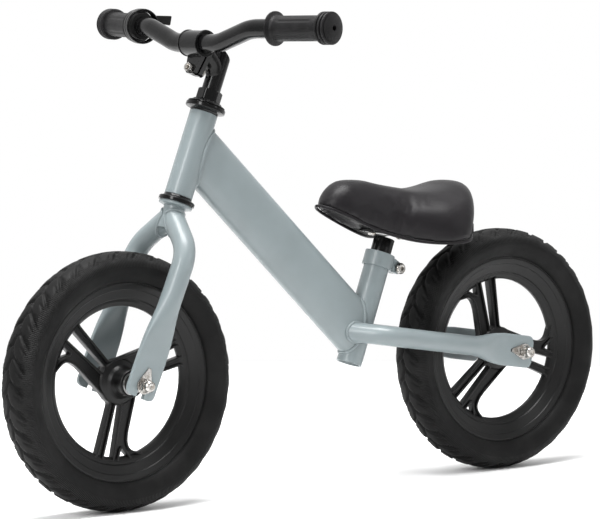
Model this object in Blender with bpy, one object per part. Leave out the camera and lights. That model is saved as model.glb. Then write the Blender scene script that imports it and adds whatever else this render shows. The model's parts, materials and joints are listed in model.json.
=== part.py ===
"""Child's balance bike: steel frame and fork, quill stem, foam tyres on moulded wheels, padded saddle.

Metres, +Z up.  The bike faces -X and its left side faces -Y.  The origin is on the ground, midway
between the two axles.  Every separate piece of the bike is one object.  Pieces that turn or slide
are children of an empty that stands on their axis.
"""
import math

import bmesh
import bpy
from mathutils import Matrix, Vector

# ---------------------------------------------------------------- driving dimensions: overall
WHEELBASE = 0.573
WHEEL_RADIUS = 0.150
HEAD_TILT = math.radians(21.35)        # steering axis, leaning back from the vertical
SEAT_TILT = math.radians(20.4)         # seat tube, leaning back from the vertical
FORK_OFFSET = 0.0045                   # axle ahead of the steering axis
FORK_LENGTH = 0.2264                   # axle to the lower end of the head tube, along the axis
GAP = 0.0003                           # between pieces that touch

# ---------------------------------------------------------------- driving dimensions: wheels
TYRE_WIDTH = 0.054
TYRE_DEPTH = 0.0352                    # from the rim seat to the tread
RIM_SEAT_WIDTH = 0.031
RIM_BORE_WIDTH = 0.0100
RIM_LIP_RADIUS = 0.0970                # where the sloping side of the rim turns in
RIM_LIP_WIDTH = 0.0165
RIM_DEPTH = 0.0230                     # from the tyre seat to the bore of the rim
WEB_THICKNESS = 0.008
HUB_RADIUS = 0.018
HUB_WIDTH = 0.060
WEB_DISC_RADIUS = 0.027
HUB_CORE_RADIUS = 0.0100
ARM_COUNT = 3
ARM_SLOT_OFFSET = 0.0068               # centre of the narrow slot beside the arm's own radius
ARM_SLOT_WIDTH = 0.0136
SPOKE_WIDTH_LEADING = 0.0085
SPOKE_WIDTH_TRAILING = 0.0125
HOOK_RADIUS = 0.024
HOOK_DEPTH = 0.018                     # from the rim bore to the straight side behind the hook
FRONT_ARM_ANGLE = math.radians(15)
REAR_ARM_ANGLE = math.radians(100)
BEARING_BORE = 0.0100
BEARING_OUTER = 0.0260
BEARING_WIDTH = 0.0080
AXLE_DIAMETER = 0.0100
DROPOUT_SPACING = 0.0940               # between the inner faces of the dropouts
SPACER_RADIUS = 0.0080
NUT_FLATS = 0.0140
NUT_HEIGHT = 0.0070
NUT_CAP_RADIUS = 0.0065
NUT_CAP_HEIGHT = 0.0062
WASHER_THICKNESS = 0.0015
WASHER_RADIUS = 0.0100
RETAINER_REACH = 0.0190                # axle to the tab of the retaining washer

# ---------------------------------------------------------------- driving dimensions: frame
HEAD_TUBE_LENGTH = 0.1025
HEAD_TUBE_RADIUS = 0.0165
HEAD_TUBE_BORE = 0.0145
DOWN_TUBE_HEIGHT = 0.0644
DOWN_TUBE_WIDTH = 0.0300
DOWN_TUBE_WALL = 0.0018
DOWN_TUBE_AT_HEAD = 0.0600             # above the lower end of the head tube
DOWN_TUBE_AT_SEAT = 0.0380             # above the foot of the seat tube
REAR_CENTRE = 0.2344                   # rear axle to the foot of the seat tube, level
SEAT_TUBE_FOOT = 0.1470                # height above the ground
SEAT_TUBE_LENGTH = 0.1390
SEAT_TUBE_RADIUS = 0.0155
SEAT_TUBE_WALL = 0.0024
SEAT_TUBE_SLOT = (0.0025, 0.0300)      # width, depth
STAY_RADIUS = 0.0120
STAY_ROOT_AHEAD = 0.0190               # root of the stay, ahead of the seat tube's axis
STAY_ROOT_HEIGHT = 0.1870
LEG_RADIUS = 0.0127
TUBE_WALL = 0.0020
DROPOUT_WIDTH = 0.0400
DROPOUT_THICKNESS = 0.0055
DROPOUT_PAST_AXLE = 0.0145
DROPOUT_SLOT = 0.0106

# ---------------------------------------------------------------- driving dimensions: steering
STEERER_RADIUS = 0.0127
STEERER_WALL = 0.0013
STEERER_BELOW = 0.0406                 # open end below the head tube
STEERER_ABOVE = 0.0248                 # threaded end above the head tube
HEADSET_UPPER_RADIUS = 0.0236
HEADSET_LOWER_RADIUS = 0.0214
HEADSET_INSERT = 0.0080
HEADSET_RUNNING = 0.0007               # cup to steerer
LOCKNUT_RADIUS = 0.0143
LOCKNUT_TOP = 0.0275                   # above the head tube
QUILL_RADIUS = 0.0111
QUILL_BOTTOM = 0.0620                  # above the lower end of the head tube
QUILL_TOP = 0.1755
QUILL_CUT = math.radians(32)           # slope of the sawn top
EXPANDER_BORE = 0.0090
EXPANDER_BOLT_RADIUS = 0.0040
CLAMP_FORWARD = 0.0384                 # handlebar centre ahead of the steering axis
CLAMP_HEIGHT = 0.1748                  # handlebar centre above the head tube's lower end
CLAMP_RADIUS = 0.0150
CLAMP_LENGTH = 0.0340
CLAMP_LUG_DROP = 0.0360
CLAMP_LUG_WIDTH = 0.0150
CLAMP_LUG_THICKNESS = 0.0055
CLAMP_BOLT_DROP = 0.0300
CLAMP_LUG_BACK = 0.0085                # slit of the clamp behind the handlebar centre
CLAMP_SLIT = 0.0024
CLAMP_BOLT_RADIUS = 0.0030
BAR_RADIUS = 0.0111
BAR_WALL = 0.0020
BAR_HALF_WIDTH = 0.2180
BAR_STRAIGHT = 0.0420                  # half length of the straight centre
BAR_KNEE = Vector((0.0035, 0.1000, 0.0178))
BAR_END_BACK = 0.0285                  # end of the bar behind its centre
BAR_END_RISE = 0.0196
BAR_BEND = 0.070
GRIP_LENGTH = 0.0890
GRIP_RADIUS = 0.0146
GRIP_FLANGE_RADIUS = 0.0198
GRIP_FLANGE_THICKNESS = 0.0034
GRIP_RING_RADIUS = 0.0187
GRIP_RINGS_LENGTH = 0.0160
BELL_WIDTH = 0.0120
BELL_RADIUS = 0.0210
BELL_WALL = 0.0022
BELL_LEVER_REACH = 0.0420
BELL_LEVER_THICKNESS = 0.0028
BELL_PIN_RADIUS = 0.0012

# ---------------------------------------------------------------- driving dimensions: seat
SEAT_POST_RADIUS = 0.0127
SEAT_POST_WALL = 0.0018
SEAT_POST_BOTTOM = 0.0500              # above the foot of the seat tube
SEAT_POST_TOP = 0.1650
COLLAR_HEIGHT = 0.0180
COLLAR_WALL = 0.0026
COLLAR_LUG_REACH = 0.0285              # clamp bolt behind the seat tube's axis
COLLAR_LUG_HALF = 0.0080
COLLAR_SLIT = 0.0030
COLLAR_BOLT_RADIUS = 0.0040
SADDLE_NOSE = 0.0065                   # nose ahead of the origin of the bike, along X
SADDLE_LENGTH = 0.2235
SADDLE_WIDTH = 0.1600
SADDLE_SKIN = 0.0045
SADDLE_BASE_THICKNESS = 0.0030
BRACKET_LENGTH = 0.0640
BRACKET_WIDTH = 0.0340
BRACKET_THICKNESS = 0.0030
BRACKET_CORNER = 0.0060
BRACKET_AHEAD = 0.0330                 # from the post to the bracket's rear edge
BRACKET_TILT = math.radians(10)
SADDLE_SCREW_RADIUS = 0.0029

# ---------------------------------------------------------------- derived places
RIM_SEAT_RADIUS = WHEEL_RADIUS - TYRE_DEPTH
RIM_BORE_RADIUS = RIM_SEAT_RADIUS - RIM_DEPTH
DROPOUT_Y = DROPOUT_SPACING / 2 + DROPOUT_THICKNESS / 2
HEAD_UP = Vector((math.sin(HEAD_TILT), 0, math.cos(HEAD_TILT)))
HEAD_BACK = Vector((math.cos(HEAD_TILT), 0, -math.sin(HEAD_TILT)))
SEAT_UP = Vector((math.sin(SEAT_TILT), 0, math.cos(SEAT_TILT)))
FRONT_AXLE = Vector((-WHEELBASE / 2, 0, WHEEL_RADIUS))
REAR_AXLE = Vector((WHEELBASE / 2, 0, WHEEL_RADIUS))
HEAD_FOOT = FRONT_AXLE + HEAD_BACK * FORK_OFFSET + HEAD_UP * FORK_LENGTH
SEAT_FOOT = Vector((REAR_AXLE.x - REAR_CENTRE, 0, SEAT_TUBE_FOOT))


# ================================================================ helpers
def clear_scene():
    for thing in list(bpy.data.objects):
        bpy.data.objects.remove(thing, do_unlink=True)


def finish_material(name, colour, roughness, metallic=0.0):
    made = bpy.data.materials.get(name)
    if made is None:
        made = bpy.data.materials.new(name)
        made.use_nodes = True
        shader = made.node_tree.nodes["Principled BSDF"]
        shader.inputs["Base Color"].default_value = (*colour, 1.0)
        shader.inputs["Roughness"].default_value = roughness
        shader.inputs["Metallic"].default_value = metallic
    return made


PAINT = ("frame_paint", (0.36, 0.44, 0.46), 0.38, 0.1)
BLACK_PAINT = ("black_paint", (0.02, 0.02, 0.02), 0.25, 0.2)
FOAM = ("tyre_foam", (0.025, 0.025, 0.025), 0.7, 0.0)
NYLON = ("wheel_nylon", (0.03, 0.03, 0.03), 0.42, 0.0)
RUBBER = ("grip_rubber", (0.03, 0.03, 0.03), 0.6, 0.0)
PLASTIC = ("black_plastic", (0.02, 0.02, 0.02), 0.35, 0.0)
ZINC = ("bright_zinc", (0.75, 0.74, 0.72), 0.2, 1.0)
STEEL = ("bearing_steel", (0.6, 0.6, 0.6), 0.3, 1.0)
COVER = ("saddle_cover", (0.03, 0.028, 0.03), 0.45, 0.0)


def empty(name, place, tilt=0.0, parent=None):
    made = bpy.data.objects.new(name, None)
    bpy.context.scene.collection.objects.link(made)
    made.location = place
    made.rotation_euler = (0, tilt, 0)
    made.parent = parent
    return made


def add(name, shape, finish=None, parent=None, place=(0, 0, 0), turn=None, smooth_angle=35):
    """Turn a bmesh into a named object; turn is a rotation matrix."""
    bmesh.ops.remove_doubles(shape, verts=shape.verts, dist=1e-6)
    bmesh.ops.recalc_face_normals(shape, faces=shape.faces)
    mesh = bpy.data.meshes.new(name)
    shape.to_mesh(mesh)
    shape.free()
    mesh.shade_smooth()
    mesh.set_sharp_from_angle(angle=math.radians(smooth_angle))
    made = bpy.data.objects.new(name, mesh)
    bpy.context.scene.collection.objects.link(made)
    made.parent = parent
    made.location = place
    if turn is not None:
        made.rotation_euler = turn.to_euler()
    if finish is not None:
        mesh.materials.append(finish_material(*finish))
    return made


def guide(name, shape, parent=None, place=(0, 0, 0), turn=None):
    """A cutter or a part of a union: it is shown as wire and never rendered."""
    made = add(name, shape, None, parent, place, turn)
    made.hide_render = True
    made.display_type = "WIRE"
    return made


def combine(target, tool, operation="DIFFERENCE"):
    step = target.modifiers.new(tool.name, "BOOLEAN")
    step.operation = operation
    step.solver = "EXACT"
    step.object = tool
    return target


def lathe(profile, segments=32, start=0.0):
    """Revolve a closed (radius, height) outline about local Z."""
    shape = bmesh.new()
    turn = Matrix.Rotation(start, 4, "Z")
    corners = [shape.verts.new(turn @ Vector((radius, 0, height))) for radius, height in profile]
    edges = [shape.edges.new((corners[i], corners[(i + 1) % len(corners)])) for i in range(len(corners))]
    edges = [edge for edge in edges if edge.verts[0].co.xy.length > 1e-7 or edge.verts[1].co.xy.length > 1e-7]
    bmesh.ops.spin(shape, geom=corners + edges, cent=(0, 0, 0), axis=(0, 0, 1),
                   angle=2 * math.pi, steps=segments, use_duplicate=False)
    bmesh.ops.remove_doubles(shape, verts=shape.verts, dist=1e-6)
    loose = [edge for edge in shape.edges if not edge.link_faces]
    bmesh.ops.delete(shape, geom=loose, context="EDGES")
    return shape


def prism(outline, low, high):
    """Extrude a closed 2D outline along local Z."""
    shape = bmesh.new()
    face = shape.faces.new([shape.verts.new((x, y, low)) for x, y in outline])
    raised = bmesh.ops.extrude_face_region(shape, geom=[face])
    moved = [item for item in raised["geom"] if isinstance(item, bmesh.types.BMVert)]
    bmesh.ops.translate(shape, verts=moved, vec=(0, 0, high - low))
    return shape


def block(low, high):
    shape = bmesh.new()
    size = Vector(high) - Vector(low)
    middle = (Vector(high) + Vector(low)) / 2
    bmesh.ops.create_cube(shape, size=1.0, matrix=Matrix.Translation(middle) @ Matrix.Diagonal((*size, 1)))
    return shape


def rod(radius, low, high, segments=24):
    return lathe([(0, low), (radius, low), (radius, high), (0, high)], segments)


def sleeve(inner, outer, low, high, segments=24):
    return lathe([(inner, low), (outer, low), (outer, high), (inner, high)], segments)


def hexagon(flats):
    corner = flats / math.sqrt(3)
    return [(corner * math.cos(i * math.pi / 3), corner * math.sin(i * math.pi / 3)) for i in range(6)]


def rounded(corners, steps=4):
    """Closed 2D outline from (x, y, fillet radius) corners."""
    outline = []
    count = len(corners)
    for i, (x, y, radius) in enumerate(corners):
        here = Vector((x, y))
        back = (Vector(corners[i - 1][:2]) - here)
        ahead = (Vector(corners[(i + 1) % count][:2]) - here)
        if radius <= 0:
            outline.append((x, y))
            continue
        u, v = back.normalized(), ahead.normalized()
        half = math.acos(max(-1.0, min(1.0, u.dot(v)))) / 2
        trim = radius / math.tan(half)
        centre = here + (u + v).normalized() * (radius / math.sin(half))
        first = here + u * trim - centre
        last = here + v * trim - centre
        sweep = first.angle_signed(last)
        for step in range(steps + 1):
            angle = -sweep * step / steps
            turned = Matrix.Rotation(angle, 2) @ first
            outline.append(tuple(centre + turned))
    return outline


def oval(half_wide, half_thick, power, count):
    """Superellipse: power 2 is an ellipse, a higher power is squarer."""
    points = []
    for i in range(count):
        c, s = math.cos(2 * math.pi * i / count), math.sin(2 * math.pi * i / count)
        points.append((math.copysign(abs(c) ** (2 / power), c) * half_wide,
                       math.copysign(abs(s) ** (2 / power), s) * half_thick))
    return points


def skin(rings, inner=None):
    """Closed body through a list of outer rings; inner rings hollow it from the first ring on."""
    shape = bmesh.new()
    outer = [[shape.verts.new(p) for p in ring] for ring in rings]
    count = len(rings[0])

    def wall(a, b):
        for i in range(count):
            j = (i + 1) % count
            shape.faces.new((a[i], a[j], b[j], b[i]))

    for a, b in zip(outer, outer[1:]):
        wall(a, b)
    if inner is None:
        shape.faces.new(outer[0])
        shape.faces.new(outer[-1])
        return shape
    hollow = [[shape.verts.new(p) for p in ring] for ring in inner]
    for a, b in zip(hollow, hollow[1:]):
        wall(a, b)
    wall(outer[0], hollow[0])
    if len(hollow) == len(outer):
        wall(outer[-1], hollow[-1])
    else:
        shape.faces.new(hollow[-1])
        shape.faces.new(outer[-1])
    return shape


def fillet_path(corners, radius, step=math.radians(16)):
    """Polyline through corners, each inner corner replaced by an arc; returns points and directions."""
    points = [Vector(corners[0])]
    ways = [(Vector(corners[1]) - Vector(corners[0])).normalized()]
    for before, here, after in zip(corners, corners[1:], corners[2:]):
        u = (Vector(before) - Vector(here)).normalized()
        v = (Vector(after) - Vector(here)).normalized()
        half = u.angle(v) / 2
        trim = min(radius / math.tan(half), 0.45 * (Vector(before) - Vector(here)).length,
                   0.45 * (Vector(after) - Vector(here)).length)
        bend = trim * math.tan(half)
        centre = Vector(here) + (u + v).normalized() * (bend / math.sin(half))
        first = Vector(here) + u * trim - centre
        last = Vector(here) + v * trim - centre
        sweep = first.angle(last)
        axis = first.cross(last).normalized()
        pieces = max(2, math.ceil(sweep / step))
        for i in range(pieces + 1):
            radial = Matrix.Rotation(sweep * i / pieces, 3, axis) @ first
            points.append(centre + radial)
            ways.append(axis.cross(radial).normalized())
    points.append(Vector(corners[-1]))
    ways.append((Vector(corners[-1]) - Vector(corners[-2])).normalized())
    return points, ways


def rings_along(points, ways, sections, flat_way):
    """Place 2D sections on a path; a section's x axis stays square to flat_way."""
    rings = []
    for point, way, section in zip(points, ways, sections):
        across = Vector(flat_way).cross(way).normalized()
        thick = way.cross(across).normalized()
        rings.append([point + across * x + thick * y for x, y in section])
    return rings


def side_turn(direction):
    """Rotation that carries local Z onto a direction, keeping local X level."""
    z = Vector(direction).normalized()
    x = Vector((1, 0, 0))
    x = (x - z * x.dot(z)).normalized()
    y = z.cross(x)
    return Matrix((x, y, z)).transposed()


ALONG_Y = side_turn((0, 1, 0))


# ================================================================ wheels
def window_outlines():
    """Openings of one arm, in the arm's own frame (x out along the arm): bean, slot and triangle."""
    low = ARM_SLOT_OFFSET - ARM_SLOT_WIDTH / 2
    high = ARM_SLOT_OFFSET + ARM_SLOT_WIDTH / 2
    outside = RIM_BORE_RADIUS
    inside = WEB_DISC_RADIUS
    slot = rounded([(inside, low + 0.001, 0.001), (outside - 0.0015, low, 0.002),
                    (outside - 0.0025, high, 0.002), (inside - 0.003, high - 0.005, 0.001)], 2)
    trailing = high + SPOKE_WIDTH_TRAILING
    back = outside - HOOK_DEPTH
    spread = 2 * math.pi / ARM_COUNT
    near_lead = math.atan2(low - SPOKE_WIDTH_LEADING + 0.0015, inside)
    far_lead = math.asin((low - SPOKE_WIDTH_LEADING - 0.0015) / outside)

    def polar(radius, angle):
        return radius * math.cos(angle), radius * math.sin(angle)

    bean_start = math.acos(back / outside)
    bean_end = spread + far_lead
    bean = [(*polar(inside, math.asin(min(0.97, trailing / inside))), 0.0), (back, trailing, HOOK_RADIUS)]
    for i in range(6):
        angle = bean_start + (bean_end - bean_start) * i / 5
        bean.append((*polar(outside, angle), 0.005 if i == 5 else 0.0))
    bean.append((*polar(inside, spread + near_lead), 0.005))
    middle = (math.asin(min(0.97, trailing / inside)) + spread + near_lead) / 2
    bean.append((*polar(inside, middle), 0.0))
    triangle = rounded([(outside - 0.0190, high + 0.0078, 0.0010), (outside - 0.0033, high + 0.0076, 0.001),
                        (outside - 0.0088, high + 0.0239, 0.0010)], 2)
    return rounded(bean, 3), slot, triangle


def hub_profile():
    seat = HUB_WIDTH / 2 - BEARING_WIDTH - GAP
    pocket = BEARING_OUTER / 2 + GAP
    half = [(HUB_CORE_RADIUS, seat), (pocket, seat), (pocket, HUB_WIDTH / 2),
            (HUB_RADIUS, HUB_WIDTH / 2), (HUB_RADIUS, 0.012), (WEB_DISC_RADIUS, WEB_THICKNESS / 2 - 0.001)]
    return half + [(radius, -height) for radius, height in reversed(half)]


def web_profile():
    start = (HUB_CORE_RADIUS + HUB_RADIUS) / 2
    half = [(start, WEB_THICKNESS / 2), (RIM_BORE_RADIUS - 0.004, WEB_THICKNESS / 2),
            (RIM_BORE_RADIUS, RIM_BORE_WIDTH / 2), (RIM_LIP_RADIUS, RIM_LIP_WIDTH / 2),
            (RIM_SEAT_RADIUS, RIM_SEAT_WIDTH / 2)]
    return half + [(radius, -height) for radius, height in reversed(half)]


def tyre_profile():
    inner = RIM_SEAT_RADIUS + GAP
    half_wide = TYRE_WIDTH / 2
    half = [(inner, RIM_SEAT_WIDTH / 2 + 0.0005)]
    for share, wide in ((0.20, 0.86), (0.50, 1.0), (0.82, 0.80)):
        half.append((inner + (WHEEL_RADIUS - inner) * share, half_wide * wide))
    half.append((WHEEL_RADIUS, half_wide * 0.34))
    return half + [(radius, -height) for radius, height in reversed(half)]


def wheel(side, axis_empty, arm_angle):
    """Tyre, moulded wheel, two bearings and everything threaded on the axle."""
    tyre = lathe(tyre_profile(), 32)
    add(f"{side}_tyre", tyre, FOAM, axis_empty, turn=ALONG_Y)
    rim = add(f"{side}_wheel", lathe(web_profile(), 32), NYLON, axis_empty, turn=ALONG_Y)
    for arm in range(ARM_COUNT):
        # Seen from the left side the arms run anticlockwise, with +X to the right.
        angle = arm_angle + 2 * math.pi * arm / ARM_COUNT
        for label, outline in zip(("bean", "slot", "triangle"), window_outlines()):
            turned = Matrix.Rotation(angle, 2)
            placed = [tuple(turned @ Vector(point)) for point in outline]
            cutter = prism(placed, -WEB_THICKNESS, WEB_THICKNESS)
            turn = Matrix(((1, 0, 0), (0, 0, -1), (0, 1, 0)))
            combine(rim, guide(f"cut_{side}_{label}_{arm}", cutter, axis_empty, turn=turn))
    hub = guide(f"union_{side}_hub", lathe(hub_profile(), 16, 0.02), axis_empty, turn=ALONG_Y)
    combine(rim, hub, "UNION")
    reach = HUB_WIDTH / 2
    for name, sign in (("left", -1), ("right", 1)):
        low, high = sorted((sign * reach, sign * (reach - BEARING_WIDTH)))
        race = sleeve(BEARING_BORE / 2 + GAP, BEARING_OUTER / 2, low, high, 20)
        add(f"{side}_{name}_wheel_bearing", race, STEEL, axis_empty, turn=ALONG_Y)


def axle_set(side, axis_empty):
    """Axle, inner sleeve, spacers, retaining washers and capped nuts; none of these turns."""
    inner = AXLE_DIAMETER / 2 + GAP
    nut_start = DROPOUT_SPACING / 2 + DROPOUT_THICKNESS + GAP + WASHER_THICKNESS + GAP
    axle_half = nut_start + NUT_HEIGHT - 0.0015
    add(f"{side}_axle", rod(AXLE_DIAMETER / 2, -axle_half, axle_half, 14), ZINC, axis_empty, turn=ALONG_Y)
    half = HUB_WIDTH / 2 - BEARING_WIDTH - 2 * GAP
    tube = sleeve(inner, HUB_CORE_RADIUS - 0.0020, -half, half, 16)
    add(f"{side}_axle_sleeve", tube, ZINC, axis_empty, turn=ALONG_Y)
    for name, sign in (("left", -1), ("right", 1)):
        low, high = sorted((sign * (HUB_WIDTH / 2 + GAP), sign * (DROPOUT_SPACING / 2 - GAP)))
        add(f"{side}_{name}_axle_spacer", sleeve(inner, SPACER_RADIUS, low, high, 16), ZINC, axis_empty,
            turn=ALONG_Y)
        nut_name = f"{side}_{name}_axle_nut"
        facing = side_turn((0, sign, 0))
        # The capped nut is one closed body: a hexagon, a neck and a round cap with a centre mark.
        nut = prism(hexagon(NUT_FLATS), nut_start, nut_start + NUT_HEIGHT)
        nut = add(nut_name, nut, ZINC, axis_empty, turn=facing)
        top = nut_start + NUT_HEIGHT
        neck = NUT_CAP_RADIUS * 0.9
        cap = lathe([(0, top - 0.001), (neck, top - 0.001), (neck, top + 0.0008),
                     (NUT_CAP_RADIUS, top + 0.0012), (NUT_CAP_RADIUS, top + NUT_CAP_HEIGHT - 0.0018),
                     (NUT_CAP_RADIUS * 0.72, top + NUT_CAP_HEIGHT), (0.0010, top + NUT_CAP_HEIGHT),
                     (0, top + NUT_CAP_HEIGHT - 0.0010)], 16)
        combine(nut, guide(f"cap_{nut_name}", cap, axis_empty, turn=facing), "UNION")
        hole = rod(inner, nut_start - 0.001, axle_half + GAP, 16)
        combine(nut, guide(f"cut_{nut_name}", hole, axis_empty, turn=facing))


def retaining_washer(name, axis_empty, sign, pointing):
    """Teardrop washer; its point and its bent tab lie towards the closed end of the dropout."""
    start = DROPOUT_SPACING / 2 + DROPOUT_THICKNESS + GAP
    reach = RETAINER_REACH
    tangent = math.acos(WASHER_RADIUS / (reach + 0.002))
    outline = [(0.0025 + reach - 0.001, -0.0018), (0.0025 + reach - 0.001, 0.0018)]
    for i in range(11):
        angle = tangent + (2 * math.pi - 2 * tangent) * i / 10
        outline.append((WASHER_RADIUS * math.cos(angle), WASHER_RADIUS * math.sin(angle)))
    plate = prism(outline, start, start + WASHER_THICKNESS)
    z = Vector((0, sign, 0))
    x = Vector(pointing).normalized()
    turn = Matrix((x, z.cross(x), z)).transposed()
    washer = add(name, plate, ZINC, axis_empty, turn=turn)
    tab = block((reach - 0.001, -0.0016, start - 0.0035),
                (reach + 0.001, 0.0016, start + WASHER_THICKNESS / 2))
    combine(washer, guide(f"tab_{name}", tab, axis_empty, turn=turn), "UNION")
    hole = rod(AXLE_DIAMETER / 2 + GAP, start - 0.001, start + WASHER_THICKNESS + 0.001, 16)
    combine(washer, guide(f"cut_{name}", hole, axis_empty, turn=turn))


def cut_dropout(plate, axis_empty, pointing, sign, label):
    """Axle slot open away from pointing, and the small hole for the washer's tab."""
    z = Vector((0, sign, 0))
    x = Vector(pointing).normalized()
    turn = Matrix((x, z.cross(x), z)).transposed()
    half = DROPOUT_SLOT / 2
    low, high = DROPOUT_SPACING / 2 - 0.004, DROPOUT_SPACING / 2 + DROPOUT_THICKNESS + 0.004
    outline = [(-DROPOUT_PAST_AXLE - 0.010, half), (-DROPOUT_PAST_AXLE - 0.010, -half)]
    for i in range(9):
        angle = -math.pi / 2 + math.pi * i / 8
        outline.append((half * math.cos(angle), half * math.sin(angle)))
    combine(plate, guide(f"slot_{label}", prism(outline, low, high), axis_empty, turn=turn))
    hole = block((RETAINER_REACH - 0.0022, -0.0026, low), (RETAINER_REACH + 0.0022, 0.0026, high))
    combine(plate, guide(f"hole_{label}", hole, axis_empty, turn=turn))


def dropout_tube(name, corners, bend, radius, straight_to, axle_at, finish, parent):
    """Round tube along corners that is pressed flat towards its last corner and rounded off there."""
    points, ways = fillet_path(corners, bend)
    end, way = points[-1], ways[-1]
    crease = axle_at - way * 0.040
    round_until = crease - way * straight_to
    points = points[:-1]
    ways = ways[:-1]
    stations = [round_until, round_until.lerp(crease, 0.5), crease, crease + way * 0.010,
                end - way * 0.006, end]
    shares = [0.0, 0.42, 0.93, 1.0, 1.0, 1.0]
    trims = [1.0, 1.0, 1.0, 1.0, 1.0, 0.82]
    flat = [0.0] * len(points) + shares
    trim = [1.0] * len(points) + trims
    points = points + stations
    ways = ways + [way] * len(stations)
    outer, inner = [], []
    for share, narrow in zip(flat, trim):
        wide = (radius + (DROPOUT_WIDTH / 2 - radius) * share) * narrow
        thick = radius + (DROPOUT_THICKNESS / 2 - radius) * share
        outer.append(oval(wide, thick, 2 + 6 * share ** 3, 12))
        inner.append(oval(wide - TUBE_WALL, thick - TUBE_WALL, 2 + 2 * share, 12))
    hollow = sum(1 for share in flat if share < 0.6)
    side = (0, 1, 0)
    rings = rings_along(points, ways, outer, side)
    hollows = rings_along(points[:hollow], ways[:hollow], inner[:hollow], side)
    return add(name, skin(rings, hollows), finish, parent)


# ================================================================ frame
def frame(root, head, seat):
    tube = sleeve(HEAD_TUBE_BORE, HEAD_TUBE_RADIUS, 0, HEAD_TUBE_LENGTH, 28)
    add("head_tube", tube, PAINT, head)

    # Down tube: an oval tube between the two axes, its ends mitred round the head and seat tubes.
    start = HEAD_FOOT + HEAD_UP * DOWN_TUBE_AT_HEAD
    end = SEAT_FOOT + SEAT_UP * DOWN_TUBE_AT_SEAT
    way = (end - start).normalized()
    normal = Vector((-way.z, 0, way.x))

    def mitred(half_high, half_wide):
        section = oval(half_high, half_wide, 2.6, 24)
        rings = []
        for place, up in ((start, HEAD_UP), (end, SEAT_UP)):
            square = Vector((up.z, 0, -up.x))
            ring = []
            for high, wide in section:
                point = place + normal * high
                point -= way * ((point - place).dot(square) / way.dot(square))
                ring.append(point + Vector((0, wide, 0)))
            rings.append(ring)
        return rings

    half_high, half_wide = DOWN_TUBE_HEIGHT / 2, DOWN_TUBE_WIDTH / 2
    walls = skin(mitred(half_high, half_wide),
                 mitred(half_high - DOWN_TUBE_WALL, half_wide - DOWN_TUBE_WALL))
    down = add("down_tube", walls, PAINT, root)
    room = rod(HEAD_TUBE_RADIUS + GAP, -0.02, HEAD_TUBE_LENGTH + 0.02, 28)
    combine(down, guide("cut_head_mitre", room, head))
    room = rod(SEAT_TUBE_RADIUS + GAP, -0.03, SEAT_TUBE_LENGTH + 0.03, 24)
    seat_room = guide("cut_seat_mitre", room, seat)
    combine(down, seat_room)

    # Seat tube: open at both ends, slit at the back for its clamp.
    bore = SEAT_TUBE_RADIUS - SEAT_TUBE_WALL
    seat_tube = add("seat_tube", sleeve(bore, SEAT_TUBE_RADIUS, 0, SEAT_TUBE_LENGTH, 24), PAINT, seat)
    wide, deep = SEAT_TUBE_SLOT
    slot = block((0, -wide / 2, SEAT_TUBE_LENGTH - deep),
                 (SEAT_TUBE_RADIUS * 2, wide / 2, SEAT_TUBE_LENGTH + 0.01))
    combine(seat_tube, guide("cut_seat_slot", slot, seat))

    # Stays: each leaves the side of the down tube, bends back past the tyre and ends in a dropout.
    root_x = SEAT_FOOT.x + (STAY_ROOT_HEIGHT - SEAT_FOOT.z) * math.tan(SEAT_TILT) - STAY_ROOT_AHEAD
    clear = skin(mitred(half_high + GAP, half_wide + GAP))
    down_room = guide("cut_stay_root", clear, root)
    run = (REAR_AXLE - Vector((root_x, 0, STAY_ROOT_HEIGHT))).normalized()
    for name, sign in (("left", -1), ("right", 1)):
        axle = REAR_AXLE + Vector((0, sign * DROPOUT_Y, 0))
        knee = Vector((root_x + 0.026, sign * DROPOUT_Y, STAY_ROOT_HEIGHT - 0.026 * 0.16))
        corners = [Vector((root_x - 0.003, sign * 0.004, STAY_ROOT_HEIGHT)), knee,
                   axle + run * DROPOUT_PAST_AXLE]
        corners[2].y = axle.y
        along = (corners[2] - knee).normalized()
        stay = dropout_tube(f"{name}_stay", corners, 0.034, STAY_RADIUS, 0.045, axle, PAINT, root)
        combine(stay, down_room)
        combine(stay, seat_room)
        rear = bpy.data.objects["rear_wheel_axis"]
        cut_dropout(stay, rear, -along, sign, f"{name}_stay")
        retaining_washer(f"rear_{name}_retaining_washer", rear, sign, -along)


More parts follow.
